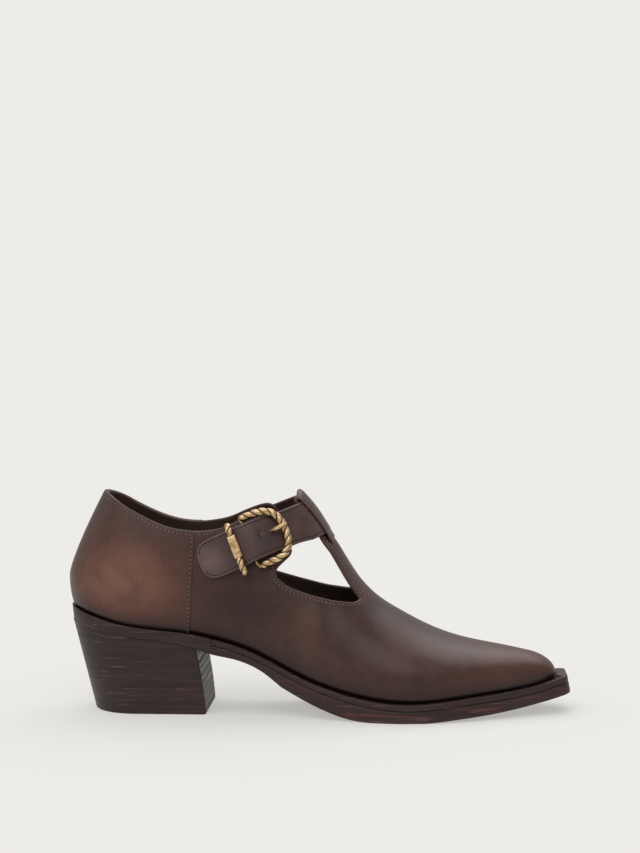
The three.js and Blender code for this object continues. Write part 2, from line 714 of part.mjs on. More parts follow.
function heelSolid() {
	const sections = HEEL_SLICES.map(heelSlice);
	const block = solidOf(new LoftGeometry(sections, { closed: true, capStart: true, capEnd: true }));
	const beyond = 6;
	const above = HEEL_TOP + 40;
	const seatBottom = (x) => soleBottom(x) - GAP;
	const seat = plate({
		inset: -beyond,
		bottomOf: seatBottom,
		topOf: () => above,
		bevel: 0,
		from: SOLE_BACK - beyond,
	});
	let heel = block.subtract(seat);
	for (let i = 0; i < RIB.count; i++) {
		const z = RIB.first + RIB.pitch * i;
		const face = breastAt(z);
		const ahead = face + RIB.clear;
		const groove = polygon([
			{ x: ahead, z: z - RIB.height },
			{ x: face - RIB.depth, z },
			{ x: ahead, z: z + RIB.height },
		]);
		heel = heel.subtract(sidePrism(groove, -ASIDE, ASIDE));
	}
	return heel;
}

// Insole: a board inside the wall, standing just above the sole.
function insoleSolid() {
	const inner = pushed(LAST_SKIN, () => -(WALL + 2 * GAP));
	const rows = inner.filter((row) => row[0].y - row[row.length - 1].y > INSOLE_LEAST_WIDTH);
	const sections = rows.map((row) => {
		const medial = row[0];
		const lateral = row[row.length - 1];
		const at = (p, rise) => new THREE.Vector3(p.x, p.y, soleTop(p.x) + GAP + rise);
		const [low, high] = [INSOLE_LIFT, INSOLE_THICKNESS];
		return [at(lateral, low), at(medial, low), at(medial, high), at(lateral, high)];
	});
	return solidOf(new LoftGeometry(sections, { closed: true, capStart: true, capEnd: true }));
}

// Ankle strap, drawn from the side: along runs up the strap from the buckle's hole, across
// runs over its width. Both sides of the shoe share the drawing.
const STRAP_ORIGIN = { x: -32, z: 97.05 };
const STRAP_SLOPE = THREE.MathUtils.degToRad(22.2);
const STRAP_WIDTH = [
	{ along: -24, half: 10.9 },
	{ along: -12, half: 10.9 },
	{ along: -6, half: 10.5 },
	{ along: 9, half: 10.5 },
	{ along: 20, half: 10.6 },
	{ along: 34, half: 10.7 },
	{ along: 62, half: 10.7 },
];
const STRAP_TAIL = { end: -34.5, roundFrom: -24, power: 2.8 };
const STRAP_ROOT = { end: -18, corner: 6 };
const BAND_LIFT = [
	{ y: -80, lift: 0 },
	{ y: -23, lift: 0 },
	{ y: -18, lift: -1.2 },
	{ y: -8, lift: -1.4 },
	{ y: TBAR_Y, lift: 1 },
	{ y: 10, lift: 2.2 },
	{ y: 80, lift: 2.2 },
];

function alongStrap(p) {
	return (p.x - STRAP_ORIGIN.x) * Math.cos(STRAP_SLOPE) + (p.z - STRAP_ORIGIN.z) * Math.sin(STRAP_SLOPE);
}

function onSide(along, across) {
	return {
		x: STRAP_ORIGIN.x + along * Math.cos(STRAP_SLOPE) - across * Math.sin(STRAP_SLOPE),
		z: STRAP_ORIGIN.z + along * Math.sin(STRAP_SLOPE) + across * Math.cos(STRAP_SLOPE),
	};
}

// The end of the strap as points from its lower to its upper edge
function endOutline(end, roundFrom, power, half) {
	const steps = 10;
	const points = [];
	for (let i = 0; i <= steps; i++) {
		const angle = Math.PI * (i / steps);
		const across = -half * Math.sign(Math.cos(angle)) * Math.abs(Math.cos(angle)) ** (2 / power);
		points.push({ along: roundFrom - (roundFrom - end) * Math.sin(angle) ** (2 / power), across });
	}
	return points;
}

function bandHalf(end, roundFrom, grown, rows) {
	const sides = STRAP_WIDTH.filter((row) => row.along > roundFrom);
	const upper = sides.map((row) => ({ along: row.along, across: row.half + grown }));
	const lower = upper.map((p) => ({ along: p.along, across: -p.across })).reverse();
	const round = endOutline(end - grown, roundFrom, STRAP_TAIL.power, STRAP_WIDTH[0].half + grown);
	const outline = [...round, ...upper, ...lower];
	const sections = rows.map(({ y, lift }) => outline.map(({ along, across }) => {
		const p = onSide(along, across + lift);
		return new THREE.Vector3(p.x, y, p.z);
	}));
	return solidOf(new LoftGeometry(sections, { closed: true, capStart: true, capEnd: true }));
}

function strapBand(grown) {
	const middle = BAND_LIFT.findIndex((row) => row.lift > 0);
	const rootFrom = STRAP_ROOT.end + STRAP_ROOT.corner;
	const outer = bandHalf(STRAP_TAIL.end, STRAP_TAIL.roundFrom, grown, BAND_LIFT.slice(0, middle + 1));
	const inner = bandHalf(STRAP_ROOT.end, rootFrom, grown, BAND_LIFT.slice(middle));
	return outer.add(inner);
}

// How high the strap's underside runs above the upper on the buckle's side
const STRAP_LIFT = [
	{ along: -40, lift: 0.3 },
	{ along: -27, lift: 0.3 },
	{ along: -22, lift: 1.5 },
	{ along: -12.3, lift: 2.9 },
	{ along: -7.5, lift: 5 },
	{ along: -2, lift: 5.1 },
	{ along: 4, lift: 4.2 },
	{ along: 9, lift: 3.2 },
	{ along: 12.5, lift: 2.2 },
	{ along: 16, lift: 1.6 },
	{ along: 22, lift: 0.9 },
	{ along: 28, lift: 0.3 },
	{ along: 90, lift: 0.3 },
];
function strapLift(along) {
	let k = 0;
	while (k < STRAP_LIFT.length - 2 && along > STRAP_LIFT[k + 1].along) k++;
	const [before, after] = [STRAP_LIFT[k], STRAP_LIFT[k + 1]];
	const share = Math.min(Math.max((along - before.along) / (after.along - before.along), 0), 1);
	return before.lift + (after.lift - before.lift) * share;
}

// A point over the outer side of the last, kept at its place in the side view: height is
// its distance from the surface.
function lateralSurface(x, z) {
	let low = LOW_SHARE;
	let high = 1;
	for (let i = 0; i < 40; i++) {
		const middle = (low + high) / 2;
		if (bodyPoint(x, -1, middle).z < z) low = middle;
		else high = middle;
	}
	return new THREE.Vector3(x, bodyPoint(x, -1, low).y, z);
}
function strapPoint(along, across, height) {
	const { x, z } = onSide(along, across);
	const step = 0.5;
	const here = lateralSurface(x, z);
	const ahead = lateralSurface(x + step, z).sub(lateralSurface(x - step, z));
	const above = lateralSurface(x, z + step).sub(lateralSurface(x, z - step));
	const normal = ahead.cross(above).normalize();
	here.y -= height / Math.abs(normal.y);
	return here;
}

// A block drawn as an outline of (along, height) points and carried across the strap.
function acrossStrap(outline, from, to, columns) {
	const sections = [];
	for (let i = 0; i <= columns; i++) {
		const across = from + ((to - from) * i) / columns;
		sections.push(outline.map(([along, height]) => strapPoint(along, across, height)));
	}
	return solidOf(new LoftGeometry(sections, { closed: true, capStart: true, capEnd: true }));
}
const blockOutline = (a0, a1, h0, h1) => [[a0, h0], [a0, h1], [a1, h1], [a1, h0]];

// A round bar through points given as rows of (along, across, height)
function bar(rows, radius, steps, sides) {
	const points = rows.map(([along, across, height]) => strapPoint(along, across, height));
	const circle = new THREE.Shape();
	for (let i = 0; i < sides; i++) {
		const angle = (2 * Math.PI * i) / sides;
		const [x, y] = [radius * Math.cos(angle), radius * Math.sin(angle)];
		if (i === 0) circle.moveTo(x, y);
		else circle.lineTo(x, y);
	}
	circle.closePath();
	const path = new THREE.CatmullRomCurve3(points, false, 'centripetal');
	return solidOf(new THREE.ExtrudeGeometry(circle, { steps, extrudePath: path, bevelEnabled: false }));
}

const PRONG_ACROSS = 2.2;
const PRONG_HOLE = { from: 5.6, to: 10.4, half: 1.45 };
function strapSolid() {
	const lateralLift = (p) => (p.y < TBAR_Y ? strapLift(alongStrap(p)) : GAP);
	const outer = instepSolid((p) => lateralLift(p) + STRAP_THICKNESS);
	const inner = instepSolid(lateralLift);
	const hole = blockOutline(PRONG_HOLE.from, PRONG_HOLE.to, 0.5, 9);
	const slot = acrossStrap(hole, PRONG_ACROSS - PRONG_HOLE.half, PRONG_ACROSS + PRONG_HOLE.half, 1);
	return outer.subtract(inner).intersect(strapBand(0)).subtract(slot);
}

// Buckle: the cord-twist frame is a bent D; a thin bar closes it under the strap.
const FRAME_PATH = [
	{ along: -5.6, across: 14.6 },
	{ along: 0, across: 14.7 },
	{ along: 5.1, across: 14.5 },
	{ along: 9.4, across: 13.4 },
	{ along: 12.8, across: 11.2 },
	{ along: 15.2, across: 7.6 },
	{ along: 16.3, across: 3.5 },
	{ along: 16.6, across: -1 },
	{ along: 16.2, across: -5.5 },
	{ along: 14.6, across: -9.2 },
	{ along: 11.6, across: -11.8 },
	{ along: 8, across: -12.8 },
	{ along: 3.6, across: -12.9 },
	{ along: -0.3, across: -13.1 },
	{ along: -3.4, across: -13.3 },
];
const FRAME_LOW = 3.2;
const FRAME_RISE = 3.4;
const BAR = { along: -4.7, height: 2.45, reach: 10.5 };

function buckleFrame() {
	const height = (along) => FRAME_LOW + FRAME_RISE * smooth((along + 5) / 17);
	const centreLine = FRAME_PATH.map(({ along, across }) => [along, across, height(along)]);
	const rope = bar(centreLine, ROPE_RADIUS, 27, 8);
	const first = FRAME_PATH[0];
	const last = FRAME_PATH[FRAME_PATH.length - 1];
	const hinge = bar([
		[first.along + 0.6, first.across, FRAME_LOW],
		[BAR.along - 0.2, 12.3, FRAME_LOW - 0.5],
		[BAR.along, BAR.reach, BAR.height],
		[BAR.along, 0, BAR.height],
		[BAR.along, -BAR.reach, BAR.height],
		[BAR.along + 0.5, -12.2, FRAME_LOW - 0.5],
		[last.along, last.across, FRAME_LOW],
	], BAR_RADIUS, 8, 6);
	return rope.add(hinge);
}

function buckleProng() {
	return bar([
		[-3.3, PRONG_ACROSS, 2.4],
		[3, PRONG_ACROSS, 2.2],
		[6, PRONG_ACROSS, 2.7],
		[8.5, PRONG_ACROSS + 0.1, 4.8],
		[10.5, PRONG_ACROSS + 0.2, 6.7],
		[12.5, PRONG_ACROSS + 0.4, 8.6],
		[14.5, PRONG_ACROSS + 0.6, 9.8],
		[16.4, PRONG_ACROSS + 0.8, 10.05],
		[18, PRONG_ACROSS + 0.9, 9.9],
	], PRONG_RADIUS, 14, 6);
}

const KEEPER_ALONG = -12.3;
const KEEPER_BACK = { half: 1, low: 1.4, high: 2.4, reach: 12.2 };
const KEEPER_PLATE = { half: 2, low: 5.5, high: 6.8, from: -4, to: 8.2 };
function buckleKeeper() {
	const flat = ({ half, low, high }) => blockOutline(KEEPER_ALONG - half, KEEPER_ALONG + half, low, high);
	const back = acrossStrap(flat(KEEPER_BACK), -KEEPER_BACK.reach, KEEPER_BACK.reach, 4);
	const face = acrossStrap(flat(KEEPER_PLATE), KEEPER_PLATE.from, KEEPER_PLATE.to, 3);
	// The keeper's corners are rods that turn round the strap's edges.
	const corner = (side, inner) => bar([
		[KEEPER_ALONG, side * 13.1, 1.9],
		[KEEPER_ALONG, side * 13.5, 3.3],
		[KEEPER_ALONG, side * 13, 5.5],
		[KEEPER_ALONG, side * 11, 6.6],
		[KEEPER_ALONG, inner, 6.6],
	], KEEPER_RADIUS, 7, 8);
	return back.add(face).add(corner(1, 7.6)).add(corner(-1, -3.4));
}

function buckleTab() {
	const half = TAB_THICKNESS / 2;
	const fold = BAR_RADIUS + 2 * GAP + half - 0.15;
	const centreLine = [
		[-22, GAP + half], [-12, GAP + half], [BAR.along, BAR.height - fold],
		[BAR.along + 0.71 * fold, BAR.height - 0.71 * fold], [BAR.along + fold, BAR.height],
		[BAR.along + 0.71 * fold, BAR.height + 0.71 * fold], [BAR.along, BAR.height + fold], [-8.6, 2.7],
	];
	const normalAt = (i) => {
		const before = centreLine[Math.max(0, i - 1)];
		const after = centreLine[Math.min(centreLine.length - 1, i + 1)];
		const run = new THREE.Vector2(after[0] - before[0], after[1] - before[1]).normalize();
		return [-run.y * half, run.x * half];
	};
	const shifted = (sign) => centreLine.map(([a, h], i) => {
		const [da, dh] = normalAt(i);
		return [a + sign * da, h + sign * dh];
	});
	const outline = [...shifted(1), ...shifted(-1).reverse()];
	const strip = acrossStrap(outline, -9.5, 9.5, 5);
	const cut = blockOutline(BAR.along - 2.3, BAR.along + 4.7, 1.1, 6);
	const slot = acrossStrap(cut, PRONG_ACROSS - PRONG_HOLE.half, PRONG_ACROSS + PRONG_HOLE.half, 1);
	return strip.subtract(slot);
}

function material(color, roughness, metalness) {
	return new THREE.MeshStandardMaterial({ color, roughness, metalness });
}
const LEATHER = material(0x4a332d, 0.45, 0);
const DARK_LEATHER = material(0x352a28, 0.5, 0);
const SOLE_LEATHER = material(0x432a28, 0.55, 0);
const BRASS = material(0xa98a55, 0.35, 1);

const shoe = new THREE.Group();
function add(name, solid, look) {
	const mesh = new THREE.Mesh(geometryOf(solid), look.clone());
	mesh.name = name;
	shoe.add(mesh);
}

const { outsole, welt } = soleSolids();
add('outsole', outsole, SOLE_LEATHER);
add('welt', welt, DARK_LEATHER);
add('heel', heelSolid(), DARK_LEATHER);
add('insole', insoleSolid(), DARK_LEATHER);
add('upper', upperSolid(), LEATHER);
add('ankle_strap', strapSolid(), LEATHER);
add('buckle_tab', buckleTab(), LEATHER);
add('buckle_frame', buckleFrame(), BRASS);
add('buckle_prong', buckleProng(), BRASS);
add('buckle_keeper', buckleKeeper(), BRASS);
shoe.scale.copy(SCALE);

// The shoe stands with the middle of its base on the origin.
const bounds = new THREE.Box3().setFromObject(shoe);
const middle = bounds.getCenter(new THREE.Vector3());
shoe.position.set(-middle.x, -middle.y, -bounds.min.z);

const model = new THREE.Group();
model.add(shoe);
export default model;
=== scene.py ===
# Looks of a western T-strap shoe for the right foot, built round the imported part.
import math

import bmesh
import bpy
import numpy as np
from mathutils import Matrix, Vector


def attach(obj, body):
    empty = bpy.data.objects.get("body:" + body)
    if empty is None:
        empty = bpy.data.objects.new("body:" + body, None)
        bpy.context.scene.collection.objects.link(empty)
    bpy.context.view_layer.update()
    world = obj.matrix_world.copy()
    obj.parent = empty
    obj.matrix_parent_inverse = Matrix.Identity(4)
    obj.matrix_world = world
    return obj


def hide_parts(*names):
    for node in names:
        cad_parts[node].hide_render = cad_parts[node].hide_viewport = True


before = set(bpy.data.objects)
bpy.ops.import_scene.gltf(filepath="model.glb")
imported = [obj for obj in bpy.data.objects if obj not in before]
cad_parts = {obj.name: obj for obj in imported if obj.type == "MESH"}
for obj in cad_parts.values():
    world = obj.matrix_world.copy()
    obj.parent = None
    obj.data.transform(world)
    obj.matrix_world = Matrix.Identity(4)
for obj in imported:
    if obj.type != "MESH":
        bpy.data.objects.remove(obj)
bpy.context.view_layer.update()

# Shapes are drawn in millimetres: X from heel to toe, Y from the outer side to the inner
# side, Z up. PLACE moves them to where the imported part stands.
PLACE = np.array([-0.281212, 4.470139, 0.0])
METRE = 0.001

# Thickness of the upper's wall, and the clearance kept between pieces
WALL = 2.0
GAP = 0.3
# LOW_SHARE of a side lies below its widest line. At its bottom edge the last tucks in: how
# far, how steeply and over what share of the side
FEATHER_TUCK = 1.4
FEATHER_LEAN = 0.5
LOW_SHARE = 0.25
TUCK_SHARE = 0.035
# Middle of the T-bar, towards the inner side
TBAR_Y = 1.6

# Last from above: x, then half widths at the bottom edge (outer, inner side) and at the
# widest line (outer, inner side)
LAST_PLAN = (
    (-104, 27.2, 27.2, 30.3, 30.3),
    (-85, 27.6, 27.2, 30.8, 30.6),
    (-60, 27.2, 26, 30.9, 30.3),
    (-35, 28, 23.7, 32.2, 30),
    (-10, 33.4, 24.9, 36, 31.5),
    (6, 37.6, 28, 39.4, 33.2),
    (22, 41.6, 32.2, 43.1, 35.6),
    (44, 45.6, 36.2, 46.6, 38.2),
    (62, 44.4, 37, 45.2, 38.4),
    (82, 37.3, 32.9, 38, 33.9),
    (102, 27.4, 25.6, 27.9, 26.1),
    (120, 18.2, 18.8, 18.5, 19.1),
    (133.4, 11.2, 13.6, 11.4, 13.8),
)
# Last from the side: x, height of the widest line, height of the ridge, the ridge's offset
# to the inner side, fullness between the two
LAST_PROFILE = (
    (-104, 73, 146, 0, 0.36),
    (-85, 70, 149, 0.2, 0.42),
    (-60, 66, 147, 0.6, 0.52),
    (-35, 58, 138, 1, 0.54),
    (-10, 45, 119.5, 1.5, 0.52),
    (-4, 41.2, 112.6, 1.7, 0.52),
    (0, 38.6, 106.8, 1.8, 0.52),
    (4, 36.2, 100.9, 1.9, 0.52),
    (8, 33.9, 97.2, 2.1, 0.53),
    (12, 31.9, 91.6, 2.2, 0.54),
    (22, 28, 75.6, 2.6, 0.58),
    (44, 24, 56.4, 3.4, 0.62),
    (62, 22.6, 46.8, 3.4, 0.64),
    (82, 22.4, 39.9, 2.6, 0.67),
    (102, 22.6, 36.2, 1.6, 0.7),
    (120, 23.4, 32.6, 0.9, 0.74),
    (133.4, 24.6, 29.6, 0.6, 0.76),
)
# The round of the heel starts at HEEL_X, the round of the toe at TOE_FROM
HEEL_X = -104.0
HEEL_FEATHER_REACH = 33.3
HEEL_WIDE_REACH = 35.8
HEEL_WIDE = 75.0
HEEL_FULL = 0.13
TOE_FROM = 118.0
TOE_TIP = 133.4
TOE_PLAN = 3.4
TOE_HEIGHT = 2.6

# Sole from above: x, half width on the outer side, half width on the inner side
SOLE_OUTLINE = (
    (-108, 28.3, 28.3),
    (-89, 28.8, 28.6),
    (-70, 28.6, 28),
    (-57, 28.4, 27),
    (-45, 28.6, 25.8),
    (-30, 30.6, 25),
    (-19, 33, 25.6),
    (-8, 36, 27.2),
    (8.5, 41, 31.4),
    (25, 46, 36.2),
    (46, 49.5, 40),
    (60, 48.3, 40.5),
    (77, 43.4, 38),
    (96, 34.8, 32.2),
    (110, 27.6, 26.4),
    (125, 19.8, 20.8),
    (139.4, 12.4, 16),
)
# Side view of the sole: x and the height of its top, and of its bottom in two stretches
SOLE_TOP = (
    (-139.6, 59), (-125, 54.3), (-108, 49.8), (-89, 47.2), (-70, 45), (-57, 42.1), (-45, 38.8),
    (-30, 32.8), (-8, 22.3), (8.5, 16.4), (25, 12.5), (46, 10.2), (64, 10.6), (84, 12.4),
    (110, 14.8), (125, 17.3), (139.4, 21.2),
)
WAIST_BOTTOM = (
    (-139.6, 50.6), (-108, 43.6), (-89, 40.9), (-70, 37.5), (-57, 33.5), (-45, 31), (-37, 28.4),
    (-30, 24.9), (-19, 16.7),
)
TREAD_BOTTOM = (
    (-19, 16.7), (-8, 10.9), (8.5, 3.9), (19.5, 1), (30, 0), (45, 0), (60, 0), (77, 1.2),
    (96, 2.8), (110, 4.6), (125, 7.4), (139.4, 11.4),
)
TREAD_START = -19.0
TREAD_FLAT = (30.0, 60.0)
SOLE_BACK_REACH = 31.3
SOLE_TIP = 139.4
SOLE_CORNER = 4.4
SOLE_TOE_LEAN = 0.19
SOLE_BACK_LEAN = 0.12
WELT_BACK = -58.0
WELT_THICKNESS = 3.4


# Helpers on numbers
def smooth(t):
    c = np.clip(t, 0.0, 1.0)
    return c * c * (3 - 2 * c)


def table_value(table, x):
    return np.interp(x, [row[0] for row in table], [row[1] for row in table])


def arc_length(points):
    """Length along a line of points, up to each of them."""
    return np.concatenate([[0], np.cumsum(np.linalg.norm(np.diff(points, axis=0), axis=1))])


def at_length(places, arc, points):
    """Points of a line at given lengths along it."""
    return np.stack([np.interp(places, arc, points[:, k]) for k in range(points.shape[1])], -1)


def halved(low, high, short, rounds=40):
    """Closes in on the place between low and high where short stops being true."""
    for _ in range(rounds):
        middle = (low + high) / 2
        more = short(middle)
        low = np.where(more, middle, low)
        high = np.where(more, high, middle)
    return low, high


def spline(table, column):
    """A natural cubic spline through one column of a table, as a function of x."""
    xs = np.array([row[0] for row in table], float)
    ys = np.array([row[column] for row in table], float)
    n = len(xs)
    h = np.diff(xs)
    system = np.eye(n)
    right = np.zeros(n)
    for i in range(1, n - 1):
        system[i, i - 1:i + 2] = h[i - 1], 2 * (h[i - 1] + h[i]), h[i]
        right[i] = 6 * ((ys[i + 1] - ys[i]) / h[i] - (ys[i] - ys[i - 1]) / h[i - 1])
    bend = np.linalg.solve(system, right)

    def value(x):
        x = np.asarray(x, float)
        k = np.clip(np.searchsorted(xs, x) - 1, 0, n - 2)
        a = (xs[k + 1] - x) / h[k]
        b = (x - xs[k]) / h[k]
        curve = ((a ** 3 - a) * bend[k] + (b ** 3 - b) * bend[k + 1]) * h[k] ** 2 / 6
        return a * ys[k] + b * ys[k + 1] + curve

    return value


plan = [spline(LAST_PLAN, c) for c in range(1, 5)]
profile = [spline(LAST_PROFILE, c) for c in range(1, 5)]
outline_outer = spline(SOLE_OUTLINE, 1)
outline_inner = spline(SOLE_OUTLINE, 2)
sole_top = spline(SOLE_TOP, 1)
waist_bottom = spline(WAIST_BOTTOM, 1)
tread_bottom = spline(TREAD_BOTTOM, 1)


def sole_bottom(x):
    tread = np.maximum(0.0, tread_bottom(x))
    flat = (x > TREAD_FLAT[0]) & (x < TREAD_FLAT[1])
    return np.where(x < TREAD_START, waist_bottom(x), np.where(flat, 0.0, tread))


# The last. u runs along it: 0 to 1 round the back of the heel, 1 to 2 along the body and
# 2 to 3 round the toe. w runs over it: -1 at the outer bottom edge, 0 on the ridge and 1 at
# the inner bottom edge.
def section_at(x):
    names = ("feather_outer", "feather_inner", "wide_outer", "wide_inner")
    s = {name: curve(x) for name, curve in zip(names, plan)}
    s.update(zip(("wide", "ridge", "ridge_y", "full"), (curve(x) for curve in profile)))
    s["feather"] = sole_top(x) + GAP
    run = np.clip((x - TOE_FROM) / (TOE_TIP - TOE_FROM), 0.0, 1.0)
    narrow = np.maximum(0.0, 1 - run ** TOE_PLAN) ** (1 / TOE_PLAN)
    lower = np.maximum(0.0, 1 - run ** TOE_HEIGHT) ** (1 / TOE_HEIGHT)
    for name in names:
        s[name] = s[name] * narrow
    s["wide"] = s["feather"] + (s["wide"] - s["feather"]) * lower
    s["ridge"] = s["feather"] + (s["ridge"] - s["feather"]) * lower
    return s


def side_point(low_reach, low_z, wide_reach, wide_z, full, ridge_z, v):
    t = v / LOW_SHARE
    rise = (wide_z - low_z) * TUCK_SHARE / LOW_SHARE
    tuck = np.minimum(FEATHER_TUCK, rise * FEATHER_LEAN) * np.clip(1 - v / TUCK_SHARE, 0.0, 1.0)
    reach_low = np.maximum(0.0, low_reach + (wide_reach - low_reach) * (2 * t - t * t) - tuck)
    z_low = low_z + (wide_z - low_z) * t
    t = (v - LOW_SHARE) / (1 - LOW_SHARE)
    a = (1 - t) ** 2
    b = 2 * full * t * (1 - t)
    c = t * t
    total = a + b + c
    below = v < LOW_SHARE
    reach = np.where(below, reach_low, (a + b) * wide_reach / total)
    z = np.where(below, z_low, (a * wide_z + (b + c) * ridge_z) / total)
    return reach, z


def body_point(x, w):
    s = section_at(x)
    outer = w < 0
    low = np.where(outer, s["feather_outer"], s["feather_inner"])
    wide = np.where(outer, s["wide_outer"], s["wide_inner"])
    reach, z = side_point(low, s["feather"], wide, s["wide"], s["full"], s["ridge"], 1 - np.abs(w))
    height = np.maximum(s["ridge"] - s["feather"], 0.01)
    y = np.where(outer, -reach, reach) + s["ridge_y"] * smooth((z - s["feather"]) / height)
    return np.stack([x + 0 * y, y, z], -1)


def heel_point(angle, w):
    s = section_at(np.array(HEEL_X))
    turn = np.cos(angle)
    mix = smooth(turn)
    feather = sole_top(HEEL_X - HEEL_FEATHER_REACH * turn) + GAP
    wide = s["wide"] + (HEEL_WIDE - s["wide"]) * mix
    full = s["full"] + (HEEL_FULL - s["full"]) * mix
    v = 1 - np.abs(w)
    back, z = side_point(HEEL_FEATHER_REACH, feather, HEEL_WIDE_REACH, wide, full, s["ridge"], v)
    aside, _ = side_point(s["feather_outer"], feather, s["wide_outer"], wide, full, s["ridge"], v)
    y = np.where(w < 0, -1.0, 1.0) * aside * np.sin(angle)
    return np.stack([HEEL_X - back * turn, y, z], -1)


TOE_CLOSING = 3.0


def station(u):
    toe = np.clip(u - 2, 0.0, 1.0)
    run = 1 - (1 - toe) ** TOE_CLOSING
    body = HEEL_X + (TOE_FROM - HEEL_X) * (u - 1)
    return np.where(u < 2, body, TOE_FROM + (TOE_TIP - TOE_FROM) * run)


def on_last(u, w):
    u, w = np.broadcast_arrays(np.asarray(u, float), np.asarray(w, float))
    heel = heel_point(u * math.pi / 2, w)
    body = body_point(station(np.maximum(u, 1.0)), w)
    return np.where((u < 1)[..., None], heel, body)


STEP = 2e-4


def tangents(u, w):
    along = (on_last(u + STEP, w) - on_last(u - STEP, w)) / (2 * STEP)
    over = (on_last(u, w + STEP) - on_last(u, w - STEP)) / (2 * STEP)
    return along, over


def unit(vectors):
    length = np.linalg.norm(vectors, axis=-1, keepdims=True)
    return vectors / np.maximum(length, 1e-12)


def normal_at(u, w):
    along, over = tangents(u, w)
    return unit(np.cross(along, over))


# Outlines drawn from the side
def catmull(points, steps):
    """A smooth line through points, with so many steps between two of them."""
    p = np.array(points, float)
    padded = np.vstack([p[:1], p, p[-1:]])
    rows = []
    for i in range(len(p) - 1):
        before, start, end, after = padded[i:i + 4]
        for t in np.arange(steps) / steps:
            leave = (end - before) / 2
            arrive = (after - start) / 2
            rows.append(
                (2 * t ** 3 - 3 * t * t + 1) * start + (t ** 3 - 2 * t * t + t) * leave
                + (3 * t * t - 2 * t ** 3) * end + (t ** 3 - t * t) * arrive)
    rows.append(p[-1])
    return np.array(rows)


# Collar from the side: x, height, and how much higher it lies on the inner side
COLLAR = (
    (-132, 125.2, 0.2), (-120.4, 122.9, 0.2), (-112, 118.8, 0.2), (-104, 114, 0), (-92, 108.1, 0),
    (-81, 104, 0.6), (-70, 102.3, 1.2), (-60, 102.6, 1.8), (-51, 104.4, 2.2),
    (-40, 109.3, 2.2), (-30, 112, 2.6),
)
OUTER_WINDOW = (
    (-25.6, 109.8), (-18, 102.4), (-13.6, 94), (-13.4, 89.8), (-17, 86), (-21, 82),
    (-21.6, 78.4), (-18.2, 74.8), (-13.6, 71.9), (-3.7, 68.4), (5.9, 65.9), (15.4, 64.1),
    (21.2, 63.4), (24.6, 65), (24.2, 67.4), (21.4, 71.2), (15.8, 80.2),
)
INNER_WINDOW = (
    (-24.6, 112), (-17.6, 104), (-15, 96), (-18, 89.4), (-25, 84.6), (-31, 80.6),
    (-31, 76.4), (-25.6, 74.5), (-18.1, 72.3), (-7.6, 69.5), (2.8, 67.1), (10.7, 66),
    (17.6, 65.5), (21.4, 66.6), (22.2, 69), (20.4, 72.8), (15.8, 80.2),
)
# Half width of the T-bar from above, flaring towards the vamp
TBAR_PLAN = (
    (-20, 9.6), (-5, 9.6), (-1, 10.4), (2, 12.1), (5, 14), (9, 15.8), (14, 17.6), (24, 20.8),
    (46, 20.8),
)
TBAR_KEEP = np.array([(-13.2, 118.6), (-6.4, 126.4), (45, 92), (24, 62), (-8, 98)])
# The openings are closed above and ahead of the shoe
SKY = 190.0
AHEAD = 45.0
AHEAD_RISE = 12
EDGE_STEPS = 4
# The two sides' outlines blend into each other this far from the shoe's middle
SIDE_BLEND = 6.0


def opening(rise, window):
    edge = catmull([(x, z + rise * inner) for x, z, inner in COLLAR] + list(window), EDGE_STEPS)
    closing = [(AHEAD, edge[-1, 1] + AHEAD_RISE), (AHEAD, SKY), (edge[0, 0], SKY)]
    return np.vstack([edge, closing])


OUTER_OPENING = opening(0, OUTER_WINDOW)
INNER_OPENING = opening(1, INNER_WINDOW)


def outside(polygon, x, z):
    """Distance of side view points from a closed polygon, negative inside it."""
    shape = np.shape(x)
    p = np.stack([np.ravel(x), np.ravel(z)], -1)
    nearest = np.full(len(p), 1e9)
    inside = np.zeros(len(p), bool)
    for a, b in zip(polygon, np.roll(polygon, -1, axis=0)):
        run = b - a
        share = np.clip(((p - a) @ run) / (run @ run), 0.0, 1.0)
        away = p - a - share[:, None] * run
        nearest = np.minimum(nearest, np.einsum("ij,ij->i", away, away))
        crosses = (a[1] > p[:, 1]) != (b[1] > p[:, 1])
        if run[1] != 0:
            inside ^= crosses & (p[:, 0] < a[0] + run[0] * (p[:, 1] - a[1]) / run[1])
    return np.where(inside, -1.0, 1.0).reshape(shape) * np.sqrt(nearest).reshape(shape)


def upper_keep(p):
    """How far inside the upper's material a point of the last lies."""
    x, y, z = p[..., 0], p[..., 1], p[..., 2]
    share = smooth((y + SIDE_BLEND) / (2 * SIDE_BLEND))
    body = outside(OUTER_OPENING, x, z) * (1 - share) + outside(INNER_OPENING, x, z) * share
    bar = np.minimum(-outside(TBAR_KEEP, x, z), table_value(TBAR_PLAN, x) - np.abs(y - TBAR_Y))
    return np.maximum(body, bar)


SEAM_LOW = np.array([-69.8, 40.0])
SEAM_HIGH = np.array([-66.6, 104.0])


def seam_behind(p):
    """Distance behind the side seam, where the back panel lies over the front one."""
    run = (SEAM_HIGH - SEAM_LOW) / np.linalg.norm(SEAM_HIGH - SEAM_LOW)
    return -((p[..., 0] - SEAM_LOW[0]) * run[1] - (p[..., 2] - SEAM_LOW[1]) * run[0])


def counter_keep(p):
    return np.minimum(upper_keep(p), seam_behind(p))


# Distances measured on the skin of the last, for a keep function drawn from the side
KEEP_STEP = 6e-4
FAR_FROM_EDGE = 9.0
LONGEST_MOVE = 0.8
# A grid point this close to the edge, as a share of its cell, is moved onto the edge
SNAP_SHARE = 0.32


